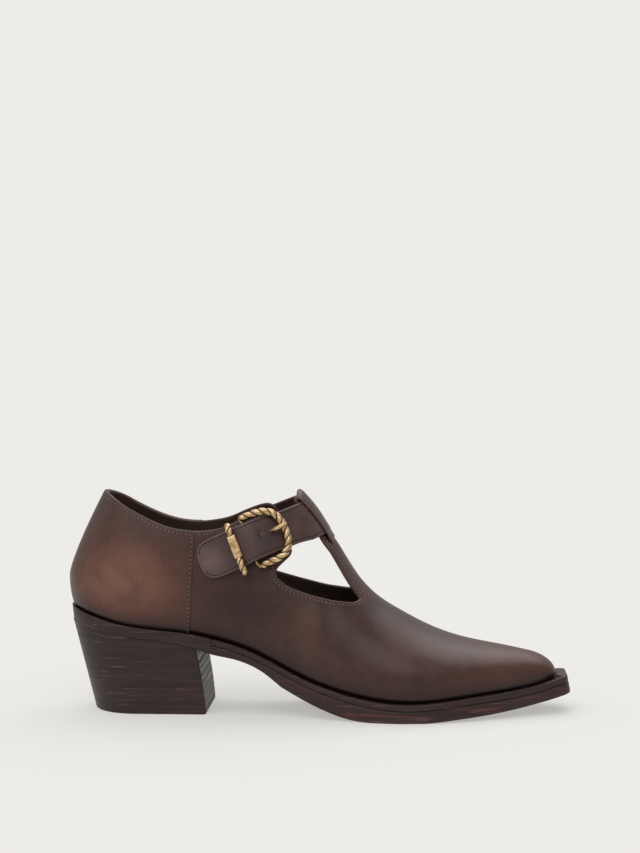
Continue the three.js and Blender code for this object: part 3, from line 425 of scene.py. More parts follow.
def slopes(keep, u, w):
    """Gradient of keep along u and w, and the first form of the skin."""
    du = (keep(on_last(u + KEEP_STEP, w)) - keep(on_last(u - KEEP_STEP, w))) / (2 * KEEP_STEP)
    dw = (keep(on_last(u, w + KEEP_STEP)) - keep(on_last(u, w - KEEP_STEP))) / (2 * KEEP_STEP)
    along, over = tangents(u, w)
    guu = (along * along).sum(-1)
    guw = (along * over).sum(-1)
    gww = (over * over).sum(-1)
    area = np.maximum(guu * gww - guw ** 2, 1e-6)
    return du, dw, guu, guw, gww, area


def depth(keep, u, w):
    """Distance along the skin from the edge that keep draws, positive on the material."""
    value = keep(on_last(u, w))
    near = np.abs(value) < FAR_FROM_EDGE
    if near.any():
        du, dw, guu, guw, gww, area = slopes(keep, u[near], w[near])
        steep = np.sqrt(np.maximum((du * du * gww - 2 * du * dw * guw + dw * dw * guu) / area, 1e-9))
        value[near] /= np.clip(steep, 0.3, 1.6)
    return value


def slide(keep, u, w, target, rounds=4):
    """Moves points along the skin until their depth is target."""
    u, w = u.copy(), w.copy()
    for _ in range(rounds):
        missing = target - depth(keep, u, w)
        du, dw, guu, guw, gww, area = slopes(keep, u, w)
        up = (gww * du - guw * dw) / area
        wp = (guu * dw - guw * du) / area
        steep = np.sqrt(np.maximum(du * up + dw * wp, 1e-9))
        move = np.clip(missing, -LONGEST_MOVE, LONGEST_MOVE) / steep
        u = u + up * move
        w = np.clip(w + wp * move, -1.0, 1.0)
    return u, w


def cut_grid(keep, us, ws, level):
    """The part of the skin deeper than level: its points (u, w), its faces, and its edge as
    chains of points. Points near the edge are moved onto it, and cells are cut along it."""
    nu, nw = len(us), len(ws)
    u, w = [grid.ravel().copy() for grid in np.meshgrid(us, ws, indexing="ij")]
    value = depth(keep, u, w) - level
    du = np.gradient(us)
    dw = np.gradient(ws)
    along, over = tangents(u, w)
    cell_u = np.linalg.norm(along, axis=-1) * np.repeat(du, nw)
    cell_w = np.linalg.norm(over, axis=-1) * np.tile(dw, nu)
    close = np.abs(value) < SNAP_SHARE * np.minimum(cell_u, cell_w)
    close &= np.abs(w) < 0.999
    if close.any():
        moved_u, moved_w = slide(keep, u[close], w[close], level)
        u[close], w[close] = moved_u, moved_w
        value[close] = 0.0
    found = {}
    pairs = []

    def crossing(a, b):
        key = (a, b) if a < b else (b, a)
        if key not in found:
            found[key] = nu * nw + len(pairs)
            pairs.append(key)
        return found[key]

    faces = []
    edges = {}
    grid = np.arange(nu * nw).reshape(nu, nw)
    corners = np.stack([grid[:-1, :-1], grid[1:, :-1], grid[1:, 1:], grid[:-1, 1:]], -1)
    corners = corners.reshape(-1, 4)
    inside = value[corners]
    whole = (inside > 0).all(1)
    faces.extend(corners[whole].tolist())
    for cell in corners[~whole & (inside > 0).any(1)]:
        ring = []
        for k in range(4):
            a, b = int(cell[k]), int(cell[(k + 1) % 4])
            if value[a] >= 0:
                ring.append(a)
            if value[a] * value[b] < 0:
                ring.append(crossing(a, b))
        if len(ring) < 3:
            continue
        faces.append(ring)
        on_edge = [p >= nu * nw or value[p] == 0 for p in ring]
        for k in range(len(ring)):
            a, b = ring[k], ring[(k + 1) % len(ring)]
            if on_edge[k] and on_edge[(k + 1) % len(ring)]:
                if (b, a) in edges:
                    del edges[(b, a)]
                else:
                    edges[(a, b)] = True
    pairs = np.array(pairs, int).reshape(-1, 2)
    a, b = pairs[:, 0], pairs[:, 1]
    rising = value[b] > value[a]

    def before_edge(share):
        here = depth(keep, u[a] + (u[b] - u[a]) * share, w[a] + (w[b] - w[a]) * share) - level
        return (here > 0) != rising

    low, high = halved(np.zeros(len(pairs)), np.ones(len(pairs)), before_edge, 12)
    share = (low + high) / 2
    u = np.concatenate([u, u[a] + (u[b] - u[a]) * share])
    w = np.concatenate([w, w[a] + (w[b] - w[a]) * share])
    after = {p: q for p, q in edges}
    starts = [p for p in after if p not in set(after.values())]
    chains = []
    while after:
        first = next((p for p in starts if p in after), None)
        if first is None:
            first = next(iter(after))
        chain = [first]
        while chain[-1] in after:
            chain.append(after.pop(chain[-1]))
        chains.append(chain)
    used = np.unique(np.concatenate([np.array(f, int) for f in faces]))
    renumber = np.full(len(u), -1)
    renumber[used] = np.arange(len(used))
    faces = [[int(renumber[p]) for p in f] for f in faces]
    chains = [[int(renumber[p]) for p in chain] for chain in chains]
    return u[used], w[used], faces, chains


# Meshes
def mesh_object(name, points, faces, materials, face_materials=None, attributes=None, weld=0.0):
    """Makes a smooth shaded mesh from points in millimetres."""
    mesh = bpy.data.meshes.new(name)
    placed = (np.asarray(points, float) + PLACE) * METRE
    mesh.from_pydata(placed.tolist(), [], faces)
    for key, values in (attributes or {}).items():
        layer = mesh.attributes.new(key, "FLOAT", "POINT")
        layer.data.foreach_set("value", np.asarray(values, np.float32))
    for material in materials:
        mesh.materials.append(material)
    if face_materials is not None:
        mesh.polygons.foreach_set("material_index", np.asarray(face_materials, np.int32))
    mesh.polygons.foreach_set("use_smooth", np.ones(len(mesh.polygons), bool))
    if weld:
        work = bmesh.new()
        work.from_mesh(mesh)
        bmesh.ops.remove_doubles(work, verts=work.verts, dist=weld * METRE)
        bmesh.ops.dissolve_degenerate(work, edges=work.edges, dist=1e-8)
        work.to_mesh(mesh)
        work.free()
    mesh.update()
    piece = bpy.data.objects.new(name, mesh)
    bpy.context.scene.collection.objects.link(piece)
    return piece


def grid_faces(rows, columns, closed_rows=False, closed_columns=False, flip=False):
    """Four-sided faces between the points of a grid."""
    faces = []
    for i in range(rows if closed_rows else rows - 1):
        for j in range(columns if closed_columns else columns - 1):
            i2, j2 = (i + 1) % rows, (j + 1) % columns
            face = [i * columns + j, i2 * columns + j, i2 * columns + j2, i * columns + j2]
            faces.append(face[::-1] if flip else face)
    return faces


# Creases pressed into the leather: points from the side, which side, depth and width
CREASES = (
    ("outer", ((9, 62), (7.5, 48), (8.5, 33), (11, 22)), 0.45, 5.0),
    ("outer", ((2, 60), (-0.5, 46), (0, 34), (3, 25)), -0.35, 5.5),
    ("outer", ((20, 60), (30, 44), (40, 34), (52, 27)), -0.35, 7.0),
    ("outer", ((-56, 76), (-58, 60), (-55, 49)), 0.22, 6.0),
    ("inner", ((6, 60), (4, 46), (6, 33), (9, 22)), 0.4, 5.5),
    ("inner", ((-4, 58), (-7, 44), (-5, 32)), -0.3, 6.0),
    ("inner", ((22, 58), (32, 43), (42, 34), (54, 28)), -0.3, 7.0),
)


def relief(p):
    """How far the leather stands off the last, from the listed creases."""
    total = np.zeros(p.shape[:-1])
    for side, line, height, width in CREASES:
        points = catmull(line, 4)
        nearest = np.full(p.shape[:-1], 1e9)
        for a, b in zip(points[:-1], points[1:]):
            run = b - a
            at = np.stack([p[..., 0] - a[0], p[..., 2] - a[1]], -1)
            share = np.clip((at @ run) / (run @ run), 0.0, 1.0)
            away = at - share[..., None] * run
            nearest = np.minimum(nearest, (away ** 2).sum(-1))
        sided = p[..., 1] < 0 if side == "outer" else p[..., 1] > 0
        total -= height * np.exp(-nearest / width ** 2) * sided
    return total


# Rows of the rounded rim, and rough millimetres for a unit of u and of w
RIM_SHARES = (0.72, 0.46, 0.24, 0.08, 0.0)
MM_PER_U = 220
MM_PER_W = 110


def shell(name, keep, us, ws, top, bottom, edge, materials):
    """A layer of leather on the last between two heights, with rounded edges."""
    u, w, faces, chains = cut_grid(keep, us, ws, edge)
    base = on_last(u, w)
    normal = normal_at(u, w)
    lift = relief(base)[:, None]
    count = len(u)
    points = [base + normal * (lift + top), base + normal * (lift + bottom)]
    depths = [depth(keep, u, w)] * 2
    kinds = [0] * len(faces) + [1] * len(faces)
    all_faces = faces + [[p + count for p in f[::-1]] for f in faces]
    start = 2 * count
    for chain in chains:
        ids = np.array(chain)
        closed = chain[0] == chain[-1]
        if closed:
            ids = ids[:-1]
        rim_u, rim_w = u[ids], w[ids]
        rows = [ids]
        back_rows = [ids + count]
        for share in RIM_SHARES:
            slid_u, slid_w = slide(keep, rim_u, rim_w, edge * share, 3)
            moved = np.hypot((slid_u - rim_u) * MM_PER_U, (slid_w - rim_w) * MM_PER_W)
            far = moved > 3 * edge
            slid_u[far], slid_w[far] = rim_u[far], rim_w[far]
            spot = on_last(slid_u, slid_w)
            across = normal_at(slid_u, slid_w)
            raised = relief(spot)[:, None]
            middle = (top + bottom) / 2
            half = (top - bottom) / 2 * math.sqrt(1 - (1 - share) ** 2)
            rim_u, rim_w = slid_u, slid_w
            points.append(spot + across * (raised + middle + half))
            depths.append(np.full(len(ids), edge * share))
            rows.append(start + np.arange(len(ids)))
            start += len(ids)
            if share > 0:
                points.append(spot + across * (raised + middle - half))
                depths.append(np.full(len(ids), edge * share))
                back_rows.append(start + np.arange(len(ids)))
                start += len(ids)
        ladder = rows + back_rows[::-1]
        steps = len(ids) if closed else len(ids) - 1
        for k, (upper_row, lower_row) in enumerate(zip(ladder[:-1], ladder[1:])):
            for i in range(steps):
                j = (i + 1) % len(ids)
                face = [upper_row[j], upper_row[i], lower_row[i], lower_row[j]]
                all_faces.append([int(p) for p in face])
                kinds.append(0 if k < len(RIM_SHARES) + 1 else 1)
    foot = np.abs(np.abs(w) - 1) < 1e-9
    for f in faces:
        for k in range(len(f)):
            a, b = f[k], f[(k + 1) % len(f)]
            if foot[a] and foot[b] and abs(w[a] - w[b]) < 1e-6:
                all_faces.append([b, a, a + count, b + count])
                kinds.append(1)
    points = np.vstack(points)
    above_sole = points[:, 2] - (sole_top(points[:, 0]) + GAP)
    attributes = {"depth": np.concatenate(depths), "low": above_sole}
    return mesh_object(name, points, all_faces, materials, kinds, attributes, weld=0.01)


# Materials
def linear(rgb):
    """Linear colour from 8 bit sRGB."""
    c = np.array(rgb) / 255
    values = np.where(c <= 0.04045, c / 12.92, ((c + 0.055) / 1.055) ** 2.4)
    return (*[float(v) for v in values], 1.0)


class Look:
    """A node material built step by step."""

    def __init__(self, name, roughness, metallic=0.0, coat=0.0, coat_roughness=0.3, specular=0.5):
        self.material = bpy.data.materials.new(name)
        self.material.use_nodes = True
        self.tree = self.material.node_tree
        self.tree.nodes.clear()
        output = self.tree.nodes.new("ShaderNodeOutputMaterial")
        self.shader = self.tree.nodes.new("ShaderNodeBsdfPrincipled")
        self.shader.inputs["Roughness"].default_value = roughness
        self.shader.inputs["Metallic"].default_value = metallic
        self.shader.inputs["Coat Weight"].default_value = coat
        self.shader.inputs["Coat Roughness"].default_value = coat_roughness
        self.shader.inputs["Specular IOR Level"].default_value = specular
        self.link(self.shader.outputs["BSDF"], output.inputs["Surface"])
        self.place = self.tree.nodes.new("ShaderNodeTexCoord").outputs["Object"]

    def link(self, source, target):
        self.tree.links.new(source, target)

    def put(self, value, target):
        if isinstance(value, bpy.types.NodeSocket):
            self.link(value, target)
        else:
            target.default_value = value

    def math(self, operation, a, b=0.0, clamp=False):
        node = self.tree.nodes.new("ShaderNodeMath")
        node.operation = operation
        node.use_clamp = clamp
        self.put(a, node.inputs[0])
        self.put(b, node.inputs[1])
        return node.outputs[0]

    def noise(self, scale, detail=3.0, rough=0.55, stretch=(1, 1, 1), distortion=0.0):
        mapping = self.tree.nodes.new("ShaderNodeMapping")
        mapping.inputs["Scale"].default_value = stretch
        self.link(self.place, mapping.inputs["Vector"])
        node = self.tree.nodes.new("ShaderNodeTexNoise")
        node.inputs["Scale"].default_value = scale
        node.inputs["Detail"].default_value = detail
        node.inputs["Roughness"].default_value = rough
        node.inputs["Distortion"].default_value = distortion
        self.link(mapping.outputs["Vector"], node.inputs["Vector"])
        return node.outputs["Fac"]

    def cells(self, scale):
        node = self.tree.nodes.new("ShaderNodeTexVoronoi")
        node.feature = "DISTANCE_TO_EDGE"
        node.inputs["Scale"].default_value = scale
        self.link(self.place, node.inputs["Vector"])
        return node.outputs["Distance"]

    def ramp(self, value, low, high, to_low=0.0, to_high=1.0):
        node = self.tree.nodes.new("ShaderNodeMapRange")
        node.interpolation_type = "SMOOTHSTEP"
        self.put(value, node.inputs["Value"])
        node.inputs["From Min"].default_value = low
        node.inputs["From Max"].default_value = high
        node.inputs["To Min"].default_value = to_low
        node.inputs["To Max"].default_value = to_high
        return node.outputs["Result"]

    def attribute(self, name):
        node = self.tree.nodes.new("ShaderNodeAttribute")
        node.attribute_name = name
        return node.outputs["Fac"]

    def blob(self, centre, radii, inner=0.0):
        """1 at a place of the object, given in millimetres, and 0 beyond its radii."""
        mapping = self.tree.nodes.new("ShaderNodeMapping")
        placed = (np.array(centre) + PLACE) * METRE
        scale = 1 / (np.array(radii) * METRE)
        mapping.inputs["Location"].default_value = [float(v) for v in -placed * scale]
        mapping.inputs["Scale"].default_value = [float(v) for v in scale]
        self.link(self.place, mapping.inputs["Vector"])
        length = self.tree.nodes.new("ShaderNodeVectorMath")
        length.operation = "LENGTH"
        self.link(mapping.outputs["Vector"], length.inputs[0])
        return self.ramp(length.outputs["Value"], inner, 1.0, 1.0, 0.0)

    def mix(self, share, a, b, blend="MIX"):
        node = self.tree.nodes.new("ShaderNodeMix")
        node.data_type = "RGBA"
        node.blend_type = blend
        self.put(share, node.inputs["Factor"])
        self.put(a, node.inputs["A"])
        self.put(b, node.inputs["B"])
        return node.outputs["Result"]

    def colour(self, value):
        self.put(value, self.shader.inputs["Base Color"])

    def roughness(self, value):
        self.put(value, self.shader.inputs["Roughness"])

    def bump(self, layers):
        """Height layers as (value, millimetres)."""
        previous = None
        for value, height in layers:
            node = self.tree.nodes.new("ShaderNodeBump")
            node.inputs["Distance"].default_value = height * METRE
            node.inputs["Strength"].default_value = 1.0
            self.link(value, node.inputs["Height"])
            if previous is not None:
                self.link(previous, node.inputs["Normal"])
            previous = node.outputs["Normal"]
        self.link(previous, self.shader.inputs["Normal"])


LEATHER_SPECULAR = 0.27


def leather_look(name, base, dark, warm, patches=(), roughness=0.4, coat=0.15, edge_highlight=0.35):
    """Smooth worn leather: patches are (centre, radii, colour, strength) in millimetres. Some
    patches, the lighter edges and the dark foot carry painted light and shade.
    """
    look = Look(name, roughness, coat=coat, coat_roughness=0.3, specular=LEATHER_SPECULAR)
    blotch = look.noise(38, 4, 0.6)
    cloud = look.noise(62, 3, 0.6, (1, 1, 1), 0.6)
    fine = look.noise(210, 4, 0.6)
    colour = look.mix(look.ramp(blotch, 0.35, 0.68), linear(dark), linear(base))
    colour = look.mix(look.math("MULTIPLY", look.ramp(fine, 0.4, 0.75), 0.18), colour, linear(warm))
    for centre, radii, tone, strength in patches:
        share = look.math("MULTIPLY", look.blob(centre, radii), strength)
        share = look.math("MULTIPLY", share, look.ramp(cloud, 0.3, 0.62, 0.55, 1.0))
        colour = look.mix(share, colour, linear(tone))
    # Lighter warm tone within about a millimetre of a cut edge: rubbed edge colour, and also a
    # painted highlight on the rounded edge
    edge = look.ramp(look.attribute("depth"), 0.15, 1.3, edge_highlight, 0.0)
    colour = look.mix(edge, colour, linear(warm))
    # Darker near the sole: deep is a painted shadow in the groove where the upper meets the sole,
    # and soft is a broader darkening towards the bottom
    deep = look.ramp(look.attribute("low"), 1.2, 3.2, 0.9, 0.0)
    soft = look.ramp(look.attribute("low"), 1.5, 11.0, 0.55, 0.0)
    colour = look.mix(soft, colour, linear((30, 20, 18)))
    colour = look.mix(deep, colour, linear((13, 9, 8)))
    look.colour(colour)
    look.roughness(look.ramp(blotch, 0.3, 0.75, roughness - 0.05, roughness + 0.08))
    grain = look.cells(1500)
    pores = look.noise(3200, 2, 0.6)
    look.bump(((grain, 0.03), (pores, 0.012), (look.noise(120, 2, 0.5), 0.05)))
    return look.material


# Tone patches of the outer side; the inner side has its own pair. The counter and toe patches are
# rubbed tones, the lighter ones on the vamp and at the waist are painted highlights, and one darker
# patch lies on the quarter below the buckle
COUNTER_TONE = (136, 96, 80)
COUNTER_RIM = (96, 58, 46)
TOE_TONE = (98, 58, 48)
UPPER_PATCHES = (
    ((-104, -30, 72), (74, 60, 62), COUNTER_RIM, 0.75),
    ((-106, -30, 76), (44, 44, 28), COUNTER_TONE, 0.6),
    ((-104, 30, 72), (74, 60, 62), COUNTER_RIM, 0.75),
    ((-104, 30, 76), (44, 44, 28), COUNTER_TONE, 0.5),
    ((106, -14, 25), (54, 50, 22), TOE_TONE, 0.66),
    # Painted highlights: a greyish sheen on the vamp, then the lighter band of reflected light at
    # the waist
    ((58, -40, 42), (46, 44, 18), (78, 58, 55), 0.4),
    ((-4, -38, 46), (12, 30, 30), (92, 62, 48), 0.7),
    ((-44, -36, 66), (32, 36, 32), (38, 24, 22), 0.8),
    # Painted highlight: a broad lighter sheen over the lower vamp
    ((60, -30, 34), (70, 40, 22), (84, 54, 46), 0.4),
)
upper_leather = leather_look(
    "upper_leather", (64, 41, 35), (50, 32, 28), (94, 68, 59), UPPER_PATCHES, coat=0.1)
STRAP_PATCHES = (
    ((-58, -28, 85), (17, 16, 15), (110, 92, 88), 0.8),
    # Painted shade: the strap darker inside the buckle's frame, where the frame shades it
    ((-30, -26, 97), (14, 15, 14), (32, 21, 19), 0.85),
)
lining = leather_look("lining_leather", (72, 55, 46), (56, 42, 35), (88, 68, 58), (), 0.6, 0.0)
strap_leather = leather_look(
    "strap_leather", (76, 54, 50), (58, 41, 38), (106, 82, 75), STRAP_PATCHES, 0.34, 0.22, 0.5)


def edge_look(name, base, streak, dark, roughness, heel=False):
    """Waxed cut leather: dark with fine streaks along it. On the sole the reddish streaks
    keep to the lower band of the forepart, on the heel they are few."""
    look = Look(name, roughness, coat=0.08, coat_roughness=0.35, specular=LEATHER_SPECULAR)
    layers = look.noise(60, 4, 0.65, (0.25, 0.25, 5))
    streaks = look.noise(150, 4, 0.65, (0.14, 0.5, 5), 0.5)
    marks = look.noise(420, 3, 0.6, (0.06, 0.3, 1.6), 0.3)
    colour = look.mix(look.ramp(layers, 0.35, 0.7), linear(dark), linear(base))
    share = look.ramp(streaks, 0.5, 0.7)
    if heel:
        share = look.math("MULTIPLY", share, look.ramp(look.noise(30, 3, 0.6), 0.42, 0.62))
        share = look.math("MULTIPLY", share, 0.55)
    else:
        share = look.math("MULTIPLY", share, look.ramp(look.attribute("under"), 3.2, 5.2))
        share = look.math("MULTIPLY", share, look.ramp(look.attribute("along"), -30.0, 0.0))
        share = look.math("MULTIPLY", share, 0.8)
    colour = look.mix(share, colour, linear(streak))
    scratch = look.math("MULTIPLY", look.ramp(marks, 0.62, 0.68), 0.45)
    colour = look.mix(scratch, colour, linear((112, 88, 82)))
    look.colour(colour)
    look.roughness(look.ramp(layers, 0.3, 0.7, roughness + 0.08, roughness - 0.06))
    look.bump(((layers, 0.04), (streaks, 0.05), (marks, 0.03), (look.noise(1400, 3, 0.6), 0.02)))
    return look.material


sole_leather = edge_look("sole_leather", (56, 39, 37), (106, 54, 50), (42, 29, 28), 0.48)
heel_leather = edge_look("heel_leather", (50, 37, 36), (86, 54, 48), (40, 29, 28), 0.46, heel=True)


def brass_look():
    look = Look("aged_brass", 0.3, metallic=1.0, specular=0.5)
    worn = look.noise(300, 4, 0.6)
    colour = look.mix(look.ramp(worn, 0.35, 0.7), linear((178, 146, 106)), linear((226, 198, 156)))
    groove = look.ramp(look.attribute("groove"), 0.1, 0.85, 1.0, 0.0)
    colour = look.mix(groove, colour, linear((48, 26, 18)))
    look.colour(colour)
    look.roughness(look.ramp(worn, 0.3, 0.7, 0.26, 0.42))
    look.bump(((look.noise(900, 3, 0.6), 0.02),))
    return look.material


brass = brass_look()


def thread_look(name, light, dark):
    look = Look(name, 0.6)
    look.colour(look.mix(look.noise(700, 3), linear(dark), linear(light)))
    look.bump(((look.noise(4200, 2, 0.5, (1, 1, 1)), 0.03),))
    return look.material


thread = thread_look("thread", (138, 112, 102), (92, 70, 62))
strap_thread = thread_look("strap_thread", (40, 27, 25), (24, 16, 15))
# Near-black for the holes: painted shade inside the needle holes and the punched hole
painted_hole_shade = thread_look("stitch_hole", (10, 7, 6), (6, 4, 4))

# Upper
SKIN_COLUMNS = np.concatenate([
    np.linspace(0, 1, 38)[:-1], np.linspace(1, 2, 150)[:-1], 2 + 0.985 * np.linspace(0, 1, 24)])
SKIN_ROWS = np.concatenate([np.linspace(-1, 0, 88)[:-1], np.linspace(0, 1, 88)])
upper = shell(
    "upper_shell", upper_keep, SKIN_COLUMNS, SKIN_ROWS, 0.0, -WALL, 0.95, [upper_leather, lining])
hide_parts("upper")
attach(upper, "root")

# Back panel, a second layer over the upper from the heel to the side seam
COUNTER_THICKNESS = 0.9
COUNTER_COLUMNS = SKIN_COLUMNS[SKIN_COLUMNS < 1.19]
counter = shell(
    "back_panel", counter_keep, COUNTER_COLUMNS, SKIN_ROWS, COUNTER_THICKNESS, -0.4, 0.7,
    [upper_leather, upper_leather])
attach(counter, "root")


# Ribbons: a strip of leather round a middle surface given as a grid of points
def grid_normals(grid):
    along = np.gradient(grid, axis=0)
    across = np.gradient(grid, axis=1)
    return unit(np.cross(along, across))


def end_room(rows, spacing):
    """Distance of each row of a grid from the nearer end, for rows so far apart."""
    steps = np.arange(len(rows))
    return spacing * np.minimum(steps, steps[::-1])[:, None]


INSIDE_SHOE = (0, 0, 60)
# Height above the sole at which leather has none of the darkening of its foot: the painted shadow in
# the groove by the sole, and a broader darkening towards the bottom
AWAY_FROM_SOLE = 20.0


def ribbon(name, middle, half, materials, attributes=None):
    normal = grid_normals(middle)
    rows, columns = middle.shape[:2]
    over = middle + normal * half[..., None]
    under = middle - normal * half[..., None]
    points = np.vstack([over.reshape(-1, 3), under.reshape(-1, 3)])
    faces = grid_faces(rows, columns)
    count = rows * columns
    faces += [[p + count for p in f[::-1]] for f in grid_faces(rows, columns)]
    values = {key: np.tile(v.ravel(), 2) for key, v in (attributes or {}).items()}
    centre = rows // 2, columns // 2
    if np.sum(normal[centre] * (over[centre] - INSIDE_SHOE)) < 0:
        faces = [f[::-1] for f in faces]
    return mesh_object(name, points, faces, materials, None, values, weld=0.004)


# Strap. Along it and across it are measured in the side view, from STRAP_ORIGIN; its middle
# line bends by BAND_LIFT on its way over the foot, and STRAP_LIFT is its height off the last
STRAP_ORIGIN = np.array([-32.0, 97.05])
STRAP_SLOPE = math.radians(22.2)
STRAP_WIDTH = ((-24, 10.9), (-12, 10.9), (-6, 10.5), (9, 10.5), (20, 10.6), (34, 10.7), (62, 10.7))
STRAP_THICKNESS = 1.6
TAIL_END, TAIL_FROM = -34.5, -24.0
ROOT_END, ROOT_FROM = -18.0, -12.0
STRAP_END_HALF = 10.9
END_POWER = 2.8
BAND_LIFT = ((-80, 0), (-23, 0), (-18, -1.2), (-8, -1.4), (TBAR_Y, 1), (10, 2.2), (80, 2.2))
STRAP_LIFT = (
    (-40, 0.3), (-27, 0.3), (-22, 1.5), (-12.3, 2.9), (-7.5, 5), (-2, 5.1), (4, 4.2), (9, 3.2),
    (12.5, 2.2), (16, 1.6), (22, 0.9), (28, 0.3), (90, 0.3),
)


def along_strap(p):
    dx = p[..., 0] - STRAP_ORIGIN[0]
    dz = p[..., 2] - STRAP_ORIGIN[1]
    return dx * math.cos(STRAP_SLOPE) + dz * math.sin(STRAP_SLOPE)


def across_strap(p):
    dx = p[..., 0] - STRAP_ORIGIN[0]
    dz = p[..., 2] - STRAP_ORIGIN[1]
    return -dx * math.sin(STRAP_SLOPE) + dz * math.cos(STRAP_SLOPE)


def strap_lift(along):
    offsets = np.linspace(-2.4, 2.4, 9)
    return np.mean([table_value(STRAP_LIFT, along + step) for step in offsets], axis=0)


LANE_COUNT = 25
LANE_STEPS = 420
LANE_REACH = 12.6
LANE_W = 0.745
LANE_BACK, LANE_FRONT = -84.0, 60.0
# Steps of a lane on each side of a row that are searched for its crossing
LANE_SEARCH = 70


def strap_lanes():
    """Lines over the last at fixed distances from the strap's middle line."""
    across = np.linspace(-LANE_REACH, LANE_REACH, LANE_COUNT)[:, None]
    w = np.linspace(-LANE_W, LANE_W, LANE_STEPS)[None, :]
    shape = (LANE_COUNT, LANE_STEPS)
    w_grid = np.broadcast_to(w, shape)

    def behind(x):
        p = body_point(x, w_grid)
        return across_strap(p) - table_value(BAND_LIFT, p[..., 1]) > across

    low, high = halved(np.full(shape, LANE_BACK), np.full(shape, LANE_FRONT), behind)
    return across[:, 0], body_point((low + high) / 2, w_grid)


def strap_grid(shares, fractions):
    """Points of the last under the strap: rows along it, columns across it."""
    lane_across, lanes = strap_lanes()
    centre = lanes[LANE_COUNT // 2]
    along = along_strap(centre)
    top = int(np.argmax(along))
    start = int(np.argmin(np.abs(along[:top] - TAIL_END)))
    end = top + int(np.argmin(np.abs(along[top:] - ROOT_END)))
    arc = arc_length(centre)
    first, last = arc[start], arc[end]
    places = first + (last - first) * shares
    centres = at_length(places, arc, centre)
    directions = unit(np.gradient(centres, axis=0))
    nearest = np.searchsorted(arc, places)
    rows = []
    alongs = np.interp(places, arc, along)
    for centre_point, direction, near in zip(centres, directions, nearest):
        window = slice(max(0, near - LANE_SEARCH), min(LANE_STEPS, near + LANE_SEARCH))
        ahead = (lanes[:, window] - centre_point) @ direction
        points = []
        for lane, values in zip(lanes[:, window], ahead):
            points.append([np.interp(0.0, values, lane[:, k]) for k in range(3)])
        rows.append(points)
    rows = np.array(rows)
    outer = np.arange(len(places)) < np.argmax(alongs)
    half = table_value(STRAP_WIDTH, alongs)
    tail = np.clip((TAIL_FROM - alongs) / (TAIL_FROM - TAIL_END), 0.0, 1.0) * outer
    root = np.clip((ROOT_FROM - alongs) / (ROOT_FROM - ROOT_END), 0.0, 1.0) * ~outer
    end_share = np.maximum(tail, root)
    narrow = np.maximum(1e-4, 1 - end_share ** END_POWER) ** (1 / END_POWER)
    half = half * narrow
    across = half[:, None] * fractions[None, :]
    grid = np.zeros((len(places), len(fractions), 3))
    for i in range(len(places)):
        for k in range(3):
            grid[i, :, k] = np.interp(across[i], lane_across, rows[i, :, k])
    reach_along = np.where(outer, TAIL_FROM - TAIL_END, ROOT_FROM - ROOT_END)
    # Distance from the edge, from the sides and from the rounded ends
    side_depth = half[:, None] * (1 - np.abs(fractions))[None, :]
    across_share = np.abs(across) / STRAP_END_HALF
    field = end_share[:, None] ** END_POWER + across_share ** END_POWER
    slope_a = END_POWER * end_share[:, None] ** (END_POWER - 1) / reach_along[:, None]
    slope_c = END_POWER * across_share ** (END_POWER - 1) / STRAP_END_HALF
    end_depth = np.maximum(0, 1 - field) / np.maximum(np.hypot(slope_a, slope_c), 1e-3)
    deep = np.where(end_share[:, None] > 0, np.minimum(side_depth + 50, end_depth), side_depth)
    return grid, across, deep, outer


# Rows close up towards the strap's two rounded ends
tail_steps = 0.062 * (1 - np.cos(np.linspace(0, math.pi / 2, 22)))
root_steps = 1 - 0.036 * (1 - np.cos(np.linspace(0, math.pi / 2, 14)))[::-1]
between = np.linspace(tail_steps[-1], root_steps[0], 210)[1:-1]
STRAP_ROWS = np.concatenate([tail_steps, between, root_steps])
edge_fractions = 1 - np.array([0, 0.012, 0.04, 0.085, 0.15, 0.22, 0.3])
middle_fractions = np.linspace(-0.62, 0.62, 17)
STRAP_COLUMNS = np.concatenate([-edge_fractions, middle_fractions, edge_fractions[::-1]])


def rounded(deep, radius):
    """Share of the full thickness that is left near an edge rounded to a radius."""
    share = np.clip(deep / radius, 0.0, 1.0)
    return np.sqrt(np.maximum(0.0, 1 - (1 - share) ** 2))


base_grid, strap_acrosses, strap_depth, strap_outer = strap_grid(STRAP_ROWS, STRAP_COLUMNS)
base_normal = grid_normals(base_grid)
if base_normal[5, 12, 1] > 0:
    base_normal = -base_normal
point_along = along_strap(base_grid)
lift = np.where(base_grid[..., 1] < TBAR_Y, strap_lift(point_along), GAP)
# The stitches lie in a shallow channel, and the leather sinks round the spare hole
STITCH_INSET = 1.7
SPARE_HOLE = {"along": 1.85, "across": 1.9, "radius": 1.25}
pressed = 0.12 * np.exp(-((strap_depth - STITCH_INSET) / 0.5) ** 2)
reach = np.hypot(point_along - SPARE_HOLE["along"], strap_acrosses - SPARE_HOLE["across"])
reach = np.where(strap_outer[:, None], reach, 99)
pressed = pressed + 0.35 * np.exp(-(reach / 1.5) ** 2)
strap_half = STRAP_THICKNESS / 2 * rounded(strap_depth, 0.7)
strap_middle = base_grid + base_normal * (lift + STRAP_THICKNESS / 2 - pressed)[..., None]
strap = ribbon("ankle_strap_leather", strap_middle, strap_half, [strap_leather],
               {"depth": strap_depth, "low": np.full(strap_depth.shape, AWAY_FROM_SOLE)})
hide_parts("ankle_strap")
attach(strap, "root")


# Places above the outer side, as the buckle's parts use them
def outer_surface(x, z):
    """Points of the last's outer side at stations x and heights z."""
    x, z = np.broadcast_arrays(np.asarray(x, float), np.asarray(z, float))
    low, _ = halved(
        np.full(x.shape, LOW_SHARE), np.ones(x.shape),
        lambda share: body_point(x, -(1 - share))[..., 2] < z)
    spot = body_point(x, -(1 - low))
    spot[..., 2] = z
    return spot


